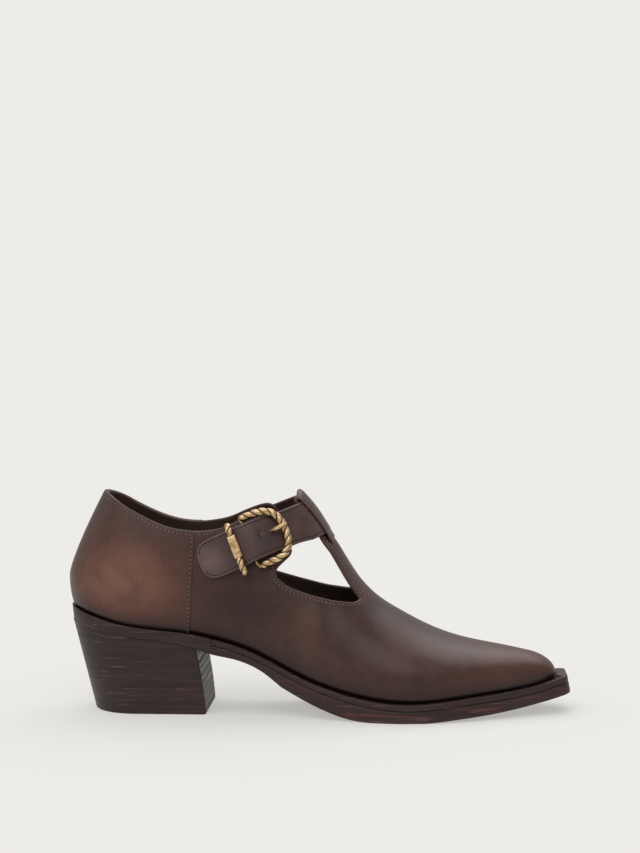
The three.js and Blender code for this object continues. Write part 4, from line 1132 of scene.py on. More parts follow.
def strap_point(along, across, height):
    """Points by their place along and across the strap and their height off the last."""
    along, across, height = np.broadcast_arrays(
        np.asarray(along, float), np.asarray(across, float), np.asarray(height, float))
    x = STRAP_ORIGIN[0] + along * math.cos(STRAP_SLOPE) - across * math.sin(STRAP_SLOPE)
    z = STRAP_ORIGIN[1] + along * math.sin(STRAP_SLOPE) + across * math.cos(STRAP_SLOPE)
    step = 0.5
    here = outer_surface(x, z)
    ahead = outer_surface(x + step, z) - outer_surface(x - step, z)
    above = outer_surface(x, z + step) - outer_surface(x, z - step)
    normal = unit(np.cross(ahead, above))
    here[..., 1] -= height / np.abs(normal[..., 1])
    return here


def resampled(points, spacing):
    """The same line with points at nearly equal spacing."""
    arc = arc_length(points)
    places = np.linspace(0, arc[-1], max(2, int(round(arc[-1] / spacing)) + 1))
    return at_length(places, arc, points)


def carried_frames(points, start):
    """Unit tangents and two unit directions across them, carried along without twist."""
    tangent = unit(np.gradient(points, axis=0))
    side = np.zeros_like(tangent)
    previous = np.array(start, float)
    for i, direction in enumerate(tangent):
        previous = previous - direction * (previous @ direction)
        previous = previous / np.linalg.norm(previous)
        side[i] = previous
    return tangent, side, np.cross(tangent, side)


def swept(points, radius, sides, start=(0, -1, 0)):
    """A round bar along points, with rounded ends."""
    radius = np.broadcast_to(np.asarray(radius, float), (len(points),)).copy()
    tangent, side, other = carried_frames(points, start)
    angles = np.linspace(0, 2 * math.pi, sides, endpoint=False)
    ring = np.cos(angles)[None, :, None] * side[:, None, :]
    ring = ring + np.sin(angles)[None, :, None] * other[:, None, :]
    body = points[:, None, :] + ring * radius[:, None, None]
    caps = 4
    head, foot = [], []
    for k in range(1, caps):
        angle = math.pi / 2 * k / caps
        shrink, push = math.cos(angle), math.sin(angle)
        head.append(points[0] - tangent[0] * radius[0] * push + ring[0] * radius[0] * shrink)
        foot.append(points[-1] + tangent[-1] * radius[-1] * push + ring[-1] * radius[-1] * shrink)
    rows = np.concatenate([np.array(head[::-1]), body, np.array(foot)])
    count = len(rows)
    vertices = rows.reshape(-1, 3)
    faces = grid_faces(count, sides, closed_columns=True)
    tip_head = points[0] - tangent[0] * radius[0]
    tip_foot = points[-1] + tangent[-1] * radius[-1]
    vertices = np.vstack([vertices, tip_head, tip_foot])
    for j in range(sides):
        k = (j + 1) % sides
        faces.append([count * sides, j, k])
        faces.append([count * sides + 1, (count - 1) * sides + k, (count - 1) * sides + j])
    return vertices, faces


def join(parts):
    """One mesh from several, each given as its points and faces."""
    vertices, faces, offset = [], [], 0
    for points, part_faces in parts:
        vertices.append(points)
        faces += [[int(p) + offset for p in f] for f in part_faces]
        offset += len(points)
    return np.vstack(vertices), faces


ROPE_RADIUS = 2.15
TWIST_PITCH = 9.2
ROPE_SIDES = 44
# Share of the radius that is left in the groove, and the share from which metal counts as open
GROOVE_RADIUS = 0.68
GROOVE_OPEN = 0.74


def rope(points, start, radius=ROPE_RADIUS, pitch=TWIST_PITCH):
    """A cord-twist rod along a path: two fat strands with a narrow groove between them. Also
    gives how open each point lies, from 0 in the groove."""
    path = resampled(points, 0.2)
    tangent, side, other = carried_frames(path, start)
    arc = arc_length(path)
    angle = np.linspace(0, 2 * math.pi, ROPE_SIDES, endpoint=False)[None, :]
    strand = np.abs(np.sin(angle - math.pi * arc[:, None] * 2 / pitch))
    bulge = GROOVE_RADIUS + (1 - GROOVE_RADIUS) * np.sqrt(strand * 0.97 + 0.03)
    room = np.minimum(arc, arc[-1] - arc)
    ends = np.sqrt(np.clip(1 - (1 - np.clip(room / radius, 0, 1)) ** 2, 0.0, 1))
    reach = radius * bulge * np.maximum(ends, 0.02)[:, None]
    ring = np.cos(angle)[..., None] * side[:, None, :]
    ring = ring + np.sin(angle)[..., None] * other[:, None, :]
    vertices = (path[:, None, :] + ring * reach[..., None]).reshape(-1, 3)
    faces = grid_faces(len(path), ROPE_SIDES, closed_columns=True)
    faces.append(list(range(ROPE_SIDES))[::-1])
    faces.append([(len(path) - 1) * ROPE_SIDES + k for k in range(ROPE_SIDES)])
    return vertices, faces, np.clip((bulge - GROOVE_OPEN) / (1 - GROOVE_OPEN), 0, 1).ravel()


# Buckle frame: its rope's place along and across the strap, and its heights at the two ends
# and above the strap's top
FRAME_PATH = (
    (-5.6, 14.6), (0, 14.7), (5.1, 14.5), (9.4, 13.4), (12.8, 11.2), (15.2, 7.6), (16.3, 3.5),
    (16.6, -1), (16.2, -5.5), (14.6, -9.2), (11.6, -11.8), (8, -12.8), (3.6, -12.9),
    (-0.3, -13.1), (-3.4, -13.3),
)
FRAME_LOW = 3.2
FRAME_RISE = 3.4
RISE_FROM, RISE_RUN = -5, 17
# Heel bar of the frame, hidden below the strap
BAR_ALONG, BAR_HEIGHT, BAR_REACH = -4.7, 2.45, 10.5
BAR_RADIUS = 0.9

frame_line = catmull(FRAME_PATH, 8)
frame_height = FRAME_LOW + FRAME_RISE * smooth((frame_line[:, 0] - RISE_FROM) / RISE_RUN)
frame_points = strap_point(frame_line[:, 0], frame_line[:, 1], frame_height)
rope_points, rope_faces, rope_open = rope(frame_points, (0, -1, 0))


def strap_bar(rows, radius, sides):
    """A round bar through places given along, across and above the strap."""
    line = catmull(rows, 8)
    points = resampled(strap_point(line[:, 0], line[:, 1], line[:, 2]), 0.5)
    return swept(points, radius, sides)


bar_part = strap_bar((
    (FRAME_PATH[0][0] + 0.6, FRAME_PATH[0][1], FRAME_LOW),
    (BAR_ALONG - 0.2, 12.3, FRAME_LOW - 0.5),
    (BAR_ALONG, BAR_REACH, BAR_HEIGHT),
    (BAR_ALONG, 0, BAR_HEIGHT),
    (BAR_ALONG, -BAR_REACH, BAR_HEIGHT),
    (BAR_ALONG + 0.5, -12.2, FRAME_LOW - 0.5),
    (FRAME_PATH[-1][0], FRAME_PATH[-1][1], FRAME_LOW),
), BAR_RADIUS, 14)
points, faces = join([(rope_points, rope_faces), bar_part])
groove = np.concatenate([rope_open, np.full(len(bar_part[0]), 0.8)])
buckle = mesh_object("buckle_frame_rope", points, faces, [brass], None, {"groove": groove})
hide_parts("buckle_frame")
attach(buckle, "root")

# Prong
PRONG_ACROSS = 2.2
PRONG_ROWS = (
    (-3.3, 0, 2.4), (3, 0, 2.2), (6, 0, 2.7), (8.5, 0.1, 4.8), (10.5, 0.2, 6.7),
    (12.5, 0.4, 8.6), (14.5, 0.6, 9.8), (16.4, 0.8, 10.05), (18, 0.9, 9.9),
)
prong_line = catmull([(a, PRONG_ACROSS + c, h) for a, c, h in PRONG_ROWS], 8)
prong_points = resampled(strap_point(prong_line[:, 0], prong_line[:, 1], prong_line[:, 2]), 0.4)
prong_share = np.linspace(0, 1, len(prong_points))
# The pin swells beyond its bend and tapers again at the tip
prong_radius = 0.92 + 0.3 * smooth((prong_share - 0.4) / 0.3)
prong_radius = prong_radius - 0.25 * smooth((prong_share - 0.85) / 0.15)
points, faces = swept(prong_points, prong_radius, 18)
prong_open = {"groove": np.full(len(points), 0.9)}
prong = mesh_object("buckle_prong_pin", points, faces, [brass], None, prong_open)
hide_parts("buckle_prong")
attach(prong, "root")


# Keeper: a loop of metal with a bare plate in front and rope ends
def rounded_block(a0, a1, h0, h1, c0, c1, radius, columns=12):
    """A block carried across the strap from c0 to c1, with rounded edges. It reaches from a0
    to a1 along the strap and from h0 to h1 above the last."""
    corners = ((a0 + radius, h0 + radius, 180), (a1 - radius, h0 + radius, 270),
               (a1 - radius, h1 - radius, 0), (a0 + radius, h1 - radius, 90))
    ring = []
    for a, h, begin in corners:
        for k in range(5):
            angle = math.radians(begin + 90 * k / 4)
            ring.append((a + radius * math.cos(angle), h + radius * math.sin(angle)))
    ring = np.array(ring)
    middle = ring.mean(0)
    rows = []
    ends = radius * (1 - np.cos(np.linspace(0, math.pi / 2, 5)))
    shrink = np.sqrt(np.maximum(0, 1 - (1 - ends / radius) ** 2))
    body = np.linspace(c0 + radius, c1 - radius, columns)
    places = np.concatenate([c0 + ends[:-1], body, (c1 - ends[:-1])[::-1]])
    insets = np.concatenate([1 - shrink[:-1], np.zeros(columns), (1 - shrink[:-1])[::-1]]) * radius
    size = (ring.max(0) - ring.min(0)) / 2
    for place, inset in zip(places, insets):
        scale = (size - inset) / size
        shape = middle + (ring - middle) * scale
        rows.append(strap_point(shape[:, 0], np.full(len(shape), place), shape[:, 1]))
    rows = np.array(rows)
    count, sides = rows.shape[:2]
    faces = grid_faces(count, sides, closed_columns=True)
    faces.append(list(range(sides))[::-1])
    faces.append([(count - 1) * sides + k for k in range(sides)])
    return rows.reshape(-1, 3), faces


KEEPER_ALONG = -12.3
KEEPER_RADIUS = 2.0
KEEPER_PITCH = 8.0
# Half widths, heights and reach across the strap of the bar behind it and of the plate
KEEPER_BACK = {"half": 1.0, "low": 1.4, "high": 2.4, "from": -12.2, "to": 12.2, "rounding": 0.4}
KEEPER_PLATE = {"half": 2.3, "low": 5.4, "high": 7.0, "from": -4.4, "to": 8.4, "rounding": 0.45}
# A corner's place across the strap and its height; it then runs on to the plate
KEEPER_CORNER = ((13.1, 1.9), (13.5, 3.3), (13, 5.5), (11, 6.6))
KEEPER_FRONT = 6.6
keeper_parts = []
keeper_open = []


def keeper_add(vertices, faces, open_share):
    keeper_parts.append((vertices, faces))
    keeper_open.append(np.broadcast_to(open_share, (len(vertices),)))


def keeper_block(size, open_share):
    back, front = KEEPER_ALONG - size["half"], KEEPER_ALONG + size["half"]
    block = rounded_block(
        back, front, size["low"], size["high"], size["from"], size["to"], size["rounding"])
    keeper_add(*block, open_share)


keeper_block(KEEPER_BACK, 0.6)
keeper_block(KEEPER_PLATE, 0.95)
for side, inner in ((1, 8.2), (-1, -4.2)):
    rows = [(KEEPER_ALONG, side * across, height) for across, height in KEEPER_CORNER]
    line = catmull(rows + [(KEEPER_ALONG, inner, KEEPER_FRONT)], 8)
    points = strap_point(line[:, 0], line[:, 1], line[:, 2])
    keeper_add(*rope(points, (1, 0, 0), KEEPER_RADIUS, KEEPER_PITCH))
points, faces = join(keeper_parts)
keeper_grooves = {"groove": np.concatenate(keeper_open)}
keeper = mesh_object("buckle_keeper_loop", points, faces, [brass], None, keeper_grooves)
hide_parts("buckle_keeper")
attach(keeper, "root")

# Tab that folds round the buckle's bar
TAB_HALF = 0.4
TAB_REACH = 9.5
DIAGONAL = 0.71
fold = BAR_RADIUS + 2 * GAP + TAB_HALF - 0.15
TAB_LINE = (
    (-22, GAP + TAB_HALF), (-12, GAP + TAB_HALF), (BAR_ALONG, BAR_HEIGHT - fold),
    (BAR_ALONG + DIAGONAL * fold, BAR_HEIGHT - DIAGONAL * fold), (BAR_ALONG + fold, BAR_HEIGHT),
    (BAR_ALONG + DIAGONAL * fold, BAR_HEIGHT + DIAGONAL * fold), (BAR_ALONG, BAR_HEIGHT + fold),
    (-8.6, 2.7),
)
tab_line = resampled(catmull(TAB_LINE, 6), 0.5)
tab_shares = np.concatenate([[-1, -0.97, -0.93], np.linspace(-0.86, 0.86, 13), [0.93, 0.97, 1]])
tab_across = TAB_REACH * tab_shares
tab_grid = strap_point(tab_line[:, :1], tab_across[None, :], tab_line[:, 1:])
tab_edge = np.minimum(TAB_REACH - np.abs(tab_across)[None, :], end_room(tab_line, 0.5))
tab = ribbon("buckle_tab_leather", tab_grid, TAB_HALF * rounded(tab_edge, 0.4), [strap_leather],
             {"depth": tab_edge + 1.0, "low": np.full(tab_edge.shape, AWAY_FROM_SOLE)})
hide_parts("buckle_tab")
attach(tab, "root")


# Loop at the top of the T-bar: up behind the strap, over it and down in front
def ridge_surface(x, y):
    """Points of the last over its ridge at stations x and offsets y."""
    x, y = np.broadcast_arrays(np.asarray(x, float), np.asarray(y, float))
    low, high = halved(
        np.full(x.shape, -0.7), np.full(x.shape, 0.7),
        lambda w: body_point(x, w)[..., 1] < y)
    return body_point(x, (low + high) / 2)


LOOP_HALF_WIDTH = 9.5
LOOP_THICKNESS = 1.0
# The loop's middle line: station along the shoe and height off the last
LOOP_LINE = (
    (0, -0.9), (-4, -0.8), (-8, -0.5), (-10.4, -0.1), (-11.7, 0.6), (-12.3, 1.4), (-11.9, 2.2),
    (-10.6, 2.6), (-8, 2.6), (-4, 2.6), (0, 2.6), (3.4, 2.5), (4.8, 2.1), (6.2, 1.3), (7.6, 0.75),
    (8.6, 0.62),
)
loop_line = resampled(catmull(LOOP_LINE, 6), 0.45)
loop_rim = np.array([0.84, 0.9, 0.95, 0.985, 1])
loop_across = np.concatenate([-loop_rim[::-1], np.linspace(-0.76, 0.76, 21), loop_rim])
loop_y = TBAR_Y + LOOP_HALF_WIDTH * loop_across
loop_base = ridge_surface(loop_line[:, :1], loop_y[None, :])
ridge_x = np.linspace(-16, 12, 60)
over_ridge = ridge_surface(ridge_x[:, None], loop_y[None, :])
over_normal = grid_normals(over_ridge)
if over_normal[30, 15, 2] < 0:
    over_normal = -over_normal
loop_normal = np.stack([
    at_length(loop_line[:, 0], ridge_x, over_normal[:, j]) for j in range(len(loop_y))], 1)
loop_middle = loop_base + unit(loop_normal) * loop_line[:, 1][:, None, None]
side_room = LOOP_HALF_WIDTH * (1 - np.abs(loop_across))[None, :]
loop_edge = np.minimum(side_room, end_room(loop_line, 0.45))
loop_half = LOOP_THICKNESS / 2 * rounded(loop_edge, 0.55)
loop = ribbon("tbar_loop", loop_middle, loop_half, [strap_leather],
              {"depth": loop_edge, "low": np.full(loop_edge.shape, AWAY_FROM_SOLE)})
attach(loop, "root")


# Sole
def sole_half(x, inner):
    """Half width of the sole at stations x, on its inner or its outer side."""
    curve = outline_inner if inner else outline_outer
    start = SOLE_OUTLINE[0][0]
    widest = SOLE_OUTLINE[0][2 if inner else 1]
    share = np.clip((start - x) / SOLE_BACK_REACH, 0.0, 1.0)
    back = widest * np.sqrt(1 - share * share)
    into = np.clip(x - (SOLE_TIP - SOLE_CORNER), 0.0, SOLE_CORNER)
    corner = SOLE_CORNER - np.sqrt(np.maximum(0.0, SOLE_CORNER ** 2 - into ** 2))
    return np.where(x < start, back, curve(np.clip(x, start, SOLE_TIP)) - corner)


def sole_path(exact=()):
    """The sole's outline as (x, y) from the back along the outer side, round the toe and
    back along the inner side, with equal steps on the two sides."""
    start = SOLE_OUTLINE[0][0]
    turn = np.linspace(0, math.pi / 2, 30)[:-1]
    back = start - SOLE_BACK_REACH * np.cos(turn)
    body = np.linspace(start, SOLE_TIP - SOLE_CORNER, 190)
    body = np.array([x for x in body if all(abs(x - e) > 0.6 for e in exact)])
    body = np.sort(np.concatenate([body, exact]))
    corner = SOLE_TIP - SOLE_CORNER + SOLE_CORNER * np.sin(np.linspace(0, math.pi / 2, 9))[1:]
    xs = np.concatenate([back, body, corner])
    outer = np.stack([xs, -sole_half(xs, False)], -1)
    inner = np.stack([xs, sole_half(xs, True)], -1)
    front_y = np.linspace(outer[-1, 1], inner[-1, 1], 15)[1:-1]
    front = np.stack([np.full(13, SOLE_TIP), front_y], -1)
    return np.vstack([outer, front, inner[::-1][:-1]])


def inset_path(path, d):
    """The sole's outline moved inwards by d."""
    x = np.clip(path[:, 0], SOLE_OUTLINE[0][0] - SOLE_BACK_REACH + d, SOLE_TIP - d)
    inner = path[:, 1] > 0
    half = np.where(inner, sole_half(x, True), sole_half(x, False)) - d
    y = np.sign(path[:, 1]) * np.minimum(np.abs(path[:, 1]), np.maximum(half, 0))
    return np.stack([x, y], -1)


# Towards the ground the sole's edge moves forward at the toe and at the back, over this run
LEAN_RUN = 20.0


def leaned(xy, z):
    x = xy[:, 0]
    lean = SOLE_TOE_LEAN * smooth((x - TOE_FROM) / LEAN_RUN)
    lean = lean + SOLE_BACK_LEAN * smooth((SOLE_OUTLINE[0][0] - x) / LEAN_RUN)
    return np.stack([x + lean * (sole_top(x) - z), xy[:, 1], z], -1)


def closed_plate(path, rows, mirror):
    """Rings of the same path, filled across at both ends by pairing its two sides."""
    count = len(path)
    points = np.vstack(rows)
    faces = grid_faces(len(rows), count, closed_columns=True)
    for base, flip in ((0, True), ((len(rows) - 1) * count, False)):
        for i in range(mirror):
            a, b = i % count, (i + 1) % count
            c, d = (count - i - 1) % count, (count - i) % count
            face = []
            for p in (a, b, c, d):
                if base + p not in face:
                    face.append(base + p)
            if len(face) > 2:
                faces.append(face[::-1] if flip else face)
    return points, faces


def sole_marks(points):
    """How far below the sole's top each point lies, and its place along the shoe."""
    return {"under": sole_top(points[:, 0]) - points[:, 2], "along": points[:, 0]}


# The outsole's edge from its bottom to its top: inset and distance from the bottom or top
BOTTOM_EDGE = ((3.0, 0.0), (1.3, 0.0), (0.75, 0.08), (0.35, 0.3), (0.1, 0.65), (0.0, 1.2))
TOP_EDGE = ((0.0, 0.8), (0.1, 0.4), (0.3, 0.15), (0.65, 0.0), (3.0, 0.0))
EDGE_SWELL = 0.18
WELT_SEAM = 0.12
path = sole_path((WELT_BACK - 0.05, WELT_BACK + 0.05, TREAD_START))
path_x = path[:, 0]
under_welt = sole_top(path_x) - WELT_THICKNESS - WELT_SEAM
outsole_top = np.where(path_x > WELT_BACK, under_welt, sole_top(path_x))
outsole_bottom = sole_bottom(path_x)
outsole_rows = [(inset, outsole_bottom + rise) for inset, rise in BOTTOM_EDGE]
flank_low = BOTTOM_EDGE[-1][1]
flank = outsole_top - outsole_bottom - flank_low - TOP_EDGE[0][1]
for share in (0.25, 0.5, 0.75):
    swell = -EDGE_SWELL * math.sin(math.pi * share)
    outsole_rows.append((swell, outsole_bottom + flank_low + flank * share))
outsole_rows += [(inset, outsole_top - drop) for inset, drop in TOP_EDGE]
rows = [leaned(inset_path(path, inset), z) for inset, z in outsole_rows]
points, faces = closed_plate(path, rows, len(path) // 2)
outsole = mesh_object(
    "outsole_leather", points, faces, [sole_leather], None, sole_marks(points), weld=0.002)
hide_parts("outsole")
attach(outsole, "root")

# Welt: its section as inset from the sole's outline and height from the sole's top
welt_path = path[path_x >= WELT_BACK]
welt_top = sole_top(welt_path[:, 0])
welt_rows = []
WELT_RING = (
    (8.0, 0.0), (3.4, 0.0), (0.8, 0.0), (0.4, -0.08), (0.12, -0.3), (0.0, -0.65), (-0.06, -1.6),
    (0.0, -2.75), (0.1, -3.1), (0.35, -3.35), (0.8, -3.4), (8.0, -3.4),
)
for inset, z in WELT_RING:
    welt_rows.append(leaned(inset_path(welt_path, inset), welt_top + z))
points = np.vstack(welt_rows)
count = len(welt_path)
faces = grid_faces(len(WELT_RING), count, closed_rows=True)
faces.append([k * count for k in range(len(WELT_RING))])
faces.append([k * count + count - 1 for k in range(len(WELT_RING))][::-1])
welt = mesh_object("welt_strip", points, faces, [sole_leather], None, sole_marks(points))
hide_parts("welt")
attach(welt, "root")

# Heel: reach to the back and half width, at the ground and at HEEL_TOP
HEEL_WIDEST = -100.0
HEEL_BACK = (25.6, 39.4)
HEEL_HALF = (26.6, 28.0)
HEEL_TOP = 53.0
HEEL_CORNER = 1.1
HEEL_BEVEL = 0.8
HEEL_BEVEL_HEIGHT = 0.9
# The breast, the heel's front, with its lean and hollow, and the grooves across it
BREAST, BREAST_LEAN, BREAST_CURVE = -60.8, 0.07, 0.0025
RIB_COUNT, RIB_PITCH, RIB_FIRST, RIB_DEPTH, RIB_HEIGHT = 8, 3.7, 3.4, 0.5, 1.0
RIB_FADE = 3.5


def breast_at(z):
    return BREAST - BREAST_LEAN * z - BREAST_CURVE * z * z


def heel_columns():
    """Columns of the heel: 0 round the back, 1 along a side, 2 round a corner, 3 across the
    breast, with the share of the way along each and the side it lies on."""
    side = np.linspace(0, 1, 19)[1:-1]
    corner = np.linspace(0, 1, 6)
    back = np.linspace(0, 1, 61)
    breast = np.linspace(-1, 1, 21)[1:-1]
    lengths = (back, side, corner, breast, corner[::-1], side[::-1])
    kinds = np.repeat([0, 1, 2, 3, 2, 1], [len(part) for part in lengths])
    sides = np.repeat([1, -1, -1, 1, 1, 1], [len(part) for part in lengths])
    return (kinds, np.concatenate(lengths)), sides


HEEL_COLUMNS, HEEL_SIDES = heel_columns()


def heel_ring(z):
    """A ring of the heel at heights z, one height a point: round the back, then along the
    sides to the breast."""
    share = z / HEEL_TOP
    edge = HEEL_BEVEL * np.clip(1 - z / HEEL_BEVEL_HEIGHT, 0, 1) ** 2
    half = HEEL_HALF[0] + (HEEL_HALF[1] - HEEL_HALF[0]) * share - edge
    back = HEEL_BACK[0] + (HEEL_BACK[1] - HEEL_BACK[0]) * share - edge
    breast = breast_at(z) - edge
    side_run = breast - HEEL_CORNER - HEEL_WIDEST
    kind, t = HEEL_COLUMNS
    kinds = [kind == 0, kind == 1, kind == 2, kind == 3]
    bent = np.sin(t * math.pi / 2) * HEEL_CORNER
    tucked = HEEL_CORNER * (1 - np.cos(t * math.pi / 2))
    x = np.select(kinds, [
        HEEL_WIDEST - back * np.sin(math.pi * t),
        HEEL_WIDEST + side_run * t,
        breast - HEEL_CORNER + bent,
        breast,
    ])
    y = np.select(kinds, [
        half * np.cos(math.pi * t),
        half,
        half - tucked,
        t * (half - HEEL_CORNER),
    ])
    return np.stack([x, y * HEEL_SIDES], -1)


def heel_mesh():
    size = len(HEEL_SIDES)
    top = np.full(size, 40.0)
    for _ in range(12):
        top = sole_bottom(heel_ring(top)[:, 0]) - 0.08
    levels = np.concatenate([[0, 0.004, 0.009, 0.014, 0.02], np.linspace(0.03, 1, 118)])
    rows = []
    for level in levels:
        z = top * level
        xy = heel_ring(z)
        breast_share = smooth((xy[:, 0] - breast_at(z) + 1.2) / 1.0)
        breast_share = breast_share * smooth((HEEL_HALF[0] - np.abs(xy[:, 1])) / RIB_FADE)
        cut = np.zeros(size)
        for k in range(RIB_COUNT):
            away = np.abs(z - (RIB_FIRST + RIB_PITCH * k)) / RIB_HEIGHT
            cut = np.maximum(cut, RIB_DEPTH * smooth(1 - away))
        rows.append(np.stack([xy[:, 0] - cut * breast_share, xy[:, 1], z], -1))
    points = np.vstack(rows)
    faces = grid_faces(len(rows), size, closed_columns=True, flip=True)
    faces.append(list(range(size)))
    faces.append([(len(rows) - 1) * size + k for k in range(size)][::-1])
    return points, faces


points, faces = heel_mesh()
heel = mesh_object("heel_stack", points, faces, [heel_leather])
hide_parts("heel")
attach(heel, "root")

# Insole, between the two bottom edges of the upper's wall
INSOLE_LIFT = 1.2
INSOLE_HALF = 0.9
insole_u = SKIN_COLUMNS[2:-6]
foot_edges = []
for w in (-1.0, 1.0):
    edge_w = np.full(len(insole_u), w)
    inward = normal_at(insole_u, edge_w)
    foot_edges.append(on_last(insole_u, edge_w) - inward * (WALL + 0.5))
outer_edge, inner_edge = foot_edges
shares = np.linspace(0, 1, 25)
mid_x = (outer_edge[:, 0] + inner_edge[:, 0]) / 2
width = inner_edge[:, 1] - outer_edge[:, 1]
base = np.stack(np.broadcast_arrays(
    mid_x[:, None],
    outer_edge[:, 1:2] + width[:, None] * shares,
    sole_top(mid_x)[:, None] + GAP + INSOLE_LIFT), -1)
board_edge = np.minimum(shares, 1 - shares)[None, :] * width[:, None]
board_edge = np.minimum(board_edge, end_room(mid_x, 1.0))
insole = ribbon("insole_board", base, INSOLE_HALF * rounded(board_edge, 0.8), [lining],
                {"depth": board_edge + 2.0, "low": np.full(board_edge.shape, AWAY_FROM_SOLE)})
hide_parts("insole")
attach(insole, "root")


# Stitches
def stitch_form():
    """A short thread: an ellipsoid along X with unit half axes."""
    rings, sides = 5, 6
    points = [(-1, 0, 0)]
    for k in range(1, rings):
        angle = math.pi * k / rings
        for j in range(sides):
            turn = 2 * math.pi * j / sides
            y, z = math.cos(turn), math.sin(turn)
            points.append((-math.cos(angle), math.sin(angle) * y, math.sin(angle) * z))
    points.append((1, 0, 0))
    faces = []
    for j in range(sides):
        k = (j + 1) % sides
        faces.append([0, 1 + k, 1 + j])
        faces.append([len(points) - 1, len(points) - 1 - sides + j, len(points) - 1 - sides + k])
    for r in range(rings - 2):
        for j in range(sides):
            k = (j + 1) % sides
            a, b = 1 + r * sides + j, 1 + r * sides + k
            faces.append([a, b, b + sides, a + sides])
    return np.array(points), faces


FORM_POINTS, FORM_FACES = stitch_form()


def stamped(places, tangents_, normals_, sizes):
    """Copies of the thread form at places, turned along the seam."""
    across = np.cross(normals_, tangents_)
    basis = np.stack([tangents_ * sizes[0], across * sizes[1], normals_ * sizes[2]], 1)
    points = np.einsum("tk,nkc->ntc", FORM_POINTS, basis) + places[:, None, :]
    faces = []
    count = len(FORM_POINTS)
    for i in range(len(places)):
        faces += [[p + i * count for p in f] for f in FORM_FACES]
    return points.reshape(-1, 3), faces


threads, strap_threads, holes = [], [], []
# Threads lie a little across the seam; between them flat dark marks stand for the needle holes, as
# painted shade
THREAD_SLANT = 0.12
SEAM_HOLE = (0.42, 0.36, 0.12)


def sew(points, normals, pitch=2.3, length=1.5, radius=0.28, sink=0.04, into=threads):
    """Threads, and flat dark marks of painted shade for the holes, at equal steps along a line on
    the leather.
    """
    arc = arc_length(points)
    if arc[-1] < 2 * pitch:
        return
    count = int(arc[-1] / pitch)
    places = (np.arange(count) + 0.5) * arc[-1] / count
    at = at_length(places, arc, points)
    normal = unit(at_length(places, arc, normals))
    tangent = unit(at_length(places + 0.3, arc, points) - at_length(places - 0.3, arc, points))
    tangent = unit(tangent - normal * (tangent * normal).sum(-1, keepdims=True))
    slant = unit(tangent + THREAD_SLANT * np.cross(normal, tangent))
    into.append(stamped(at + normal * sink, slant, normal, (length / 2, radius, radius)))
    gap = at + tangent * (pitch / 2)
    holes.append(stamped(gap + normal * -0.02, tangent, normal, SEAM_HOLE))


def skin_line(keep, level, height, columns=SKIN_COLUMNS, test=None):
    """Lines at one depth from an edge of the upper, lying on the leather."""
    u, w, _, chains = cut_grid(keep, columns, SKIN_ROWS, level)
    lines = []
    for chain in chains:
        cu, cw = u[chain], w[chain]
        p = on_last(cu, cw)
        n = normal_at(cu, cw)
        p = p + n * (relief(p)[:, None] + height)
        wanted = np.ones(len(p), bool) if test is None else test(p)
        run = []
        for k, good in enumerate(wanted):
            if good:
                run.append(k)
            if (not good or k == len(wanted) - 1) and len(run) > 6:
                lines.append((p[run], n[run]))
            if not good:
                run = []
    return lines


def ahead_of_seam(p):
    return seam_behind(p) < -0.6


def on_back_panel(p):
    return seam_behind(p) > 1.0


def beyond_collar(p):
    return upper_keep(p) > 2.2


EDGE_SEAM = 2.4
PANEL_SEAM = 1.4
for p, n in skin_line(upper_keep, EDGE_SEAM, 0.0, test=ahead_of_seam):
    sew(p, n)
for p, n in skin_line(upper_keep, EDGE_SEAM, COUNTER_THICKNESS, COUNTER_COLUMNS, on_back_panel):
    sew(p, n)
for p, n in skin_line(seam_behind, PANEL_SEAM, COUNTER_THICKNESS, COUNTER_COLUMNS, beyond_collar):
    sew(p, n, pitch=2.4, length=1.2, radius=0.26)

strap_top_points = base_grid + base_normal * (lift + STRAP_THICKNESS - 0.12)[..., None]


def strap_stitches(side):
    """The seam line near one edge of the strap, with the normals along it."""
    places = []
    normals = []
    for i in range(len(strap_depth)):
        half_row = strap_acrosses[i]
        order = slice(0, len(half_row) // 2 + 1) if side < 0 else slice(len(half_row) // 2, None)
        depths = strap_depth[i, order]
        pts = strap_top_points[i, order]
        nrm = base_normal[i, order]
        if depths.max() < STITCH_INSET:
            continue
        if side > 0:
            depths, pts, nrm = depths[::-1], pts[::-1], nrm[::-1]
        places.append(at_length(STITCH_INSET, depths, pts))
        normals.append(at_length(STITCH_INSET, depths, nrm))
    return np.array(places), np.array(normals)


for side in (-1, 1):
    line, line_normals = strap_stitches(side)
    sew(line, unit(line_normals), pitch=2.2, length=1.5, radius=0.34, sink=0.1, into=strap_threads)

points, faces = join(threads)
stitching = mesh_object("stitching", points, faces, [thread])
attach(stitching, "root")

# The punched hole that shows between the keeper and the prong, as a flat dark disc of painted shade
hole_along, hole_across = SPARE_HOLE["along"], SPARE_HOLE["across"]
hole_spot = strap_point(
    np.array([hole_along, hole_along + 1, hole_along]),
    np.array([hole_across, hole_across, hole_across + 1]),
    strap_lift(np.full(3, hole_along)) + STRAP_THICKNESS)
hole_tangent = unit(hole_spot[1] - hole_spot[0])
hole_normal = unit(np.cross(hole_tangent, hole_spot[2] - hole_spot[0]))
if hole_normal[1] > 0:
    hole_normal = -hole_normal
holes.append(stamped(
    hole_spot[:1], hole_tangent[None, :], hole_normal[None, :],
    (SPARE_HOLE["radius"], SPARE_HOLE["radius"], 0.2)))

points, faces = join(strap_threads)
strap_stitching = mesh_object("strap_stitching", points, faces, [strap_thread])
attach(strap_stitching, "root")
# Flat dark marks of painted shade for the needle holes and the punched hole
points, faces = join(holes)
stitch_holes = mesh_object("stitch_holes", points, faces, [painted_hole_shade])
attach(stitch_holes, "root")

# Floor, light and camera. The pale surroundings are seen in full by the camera, and light the
# shoe at a share of that; the floor's colour makes it meet them without an edge.
PALE = (0.855, 0.840, 0.807)
WORLD_SHARE = 0.56
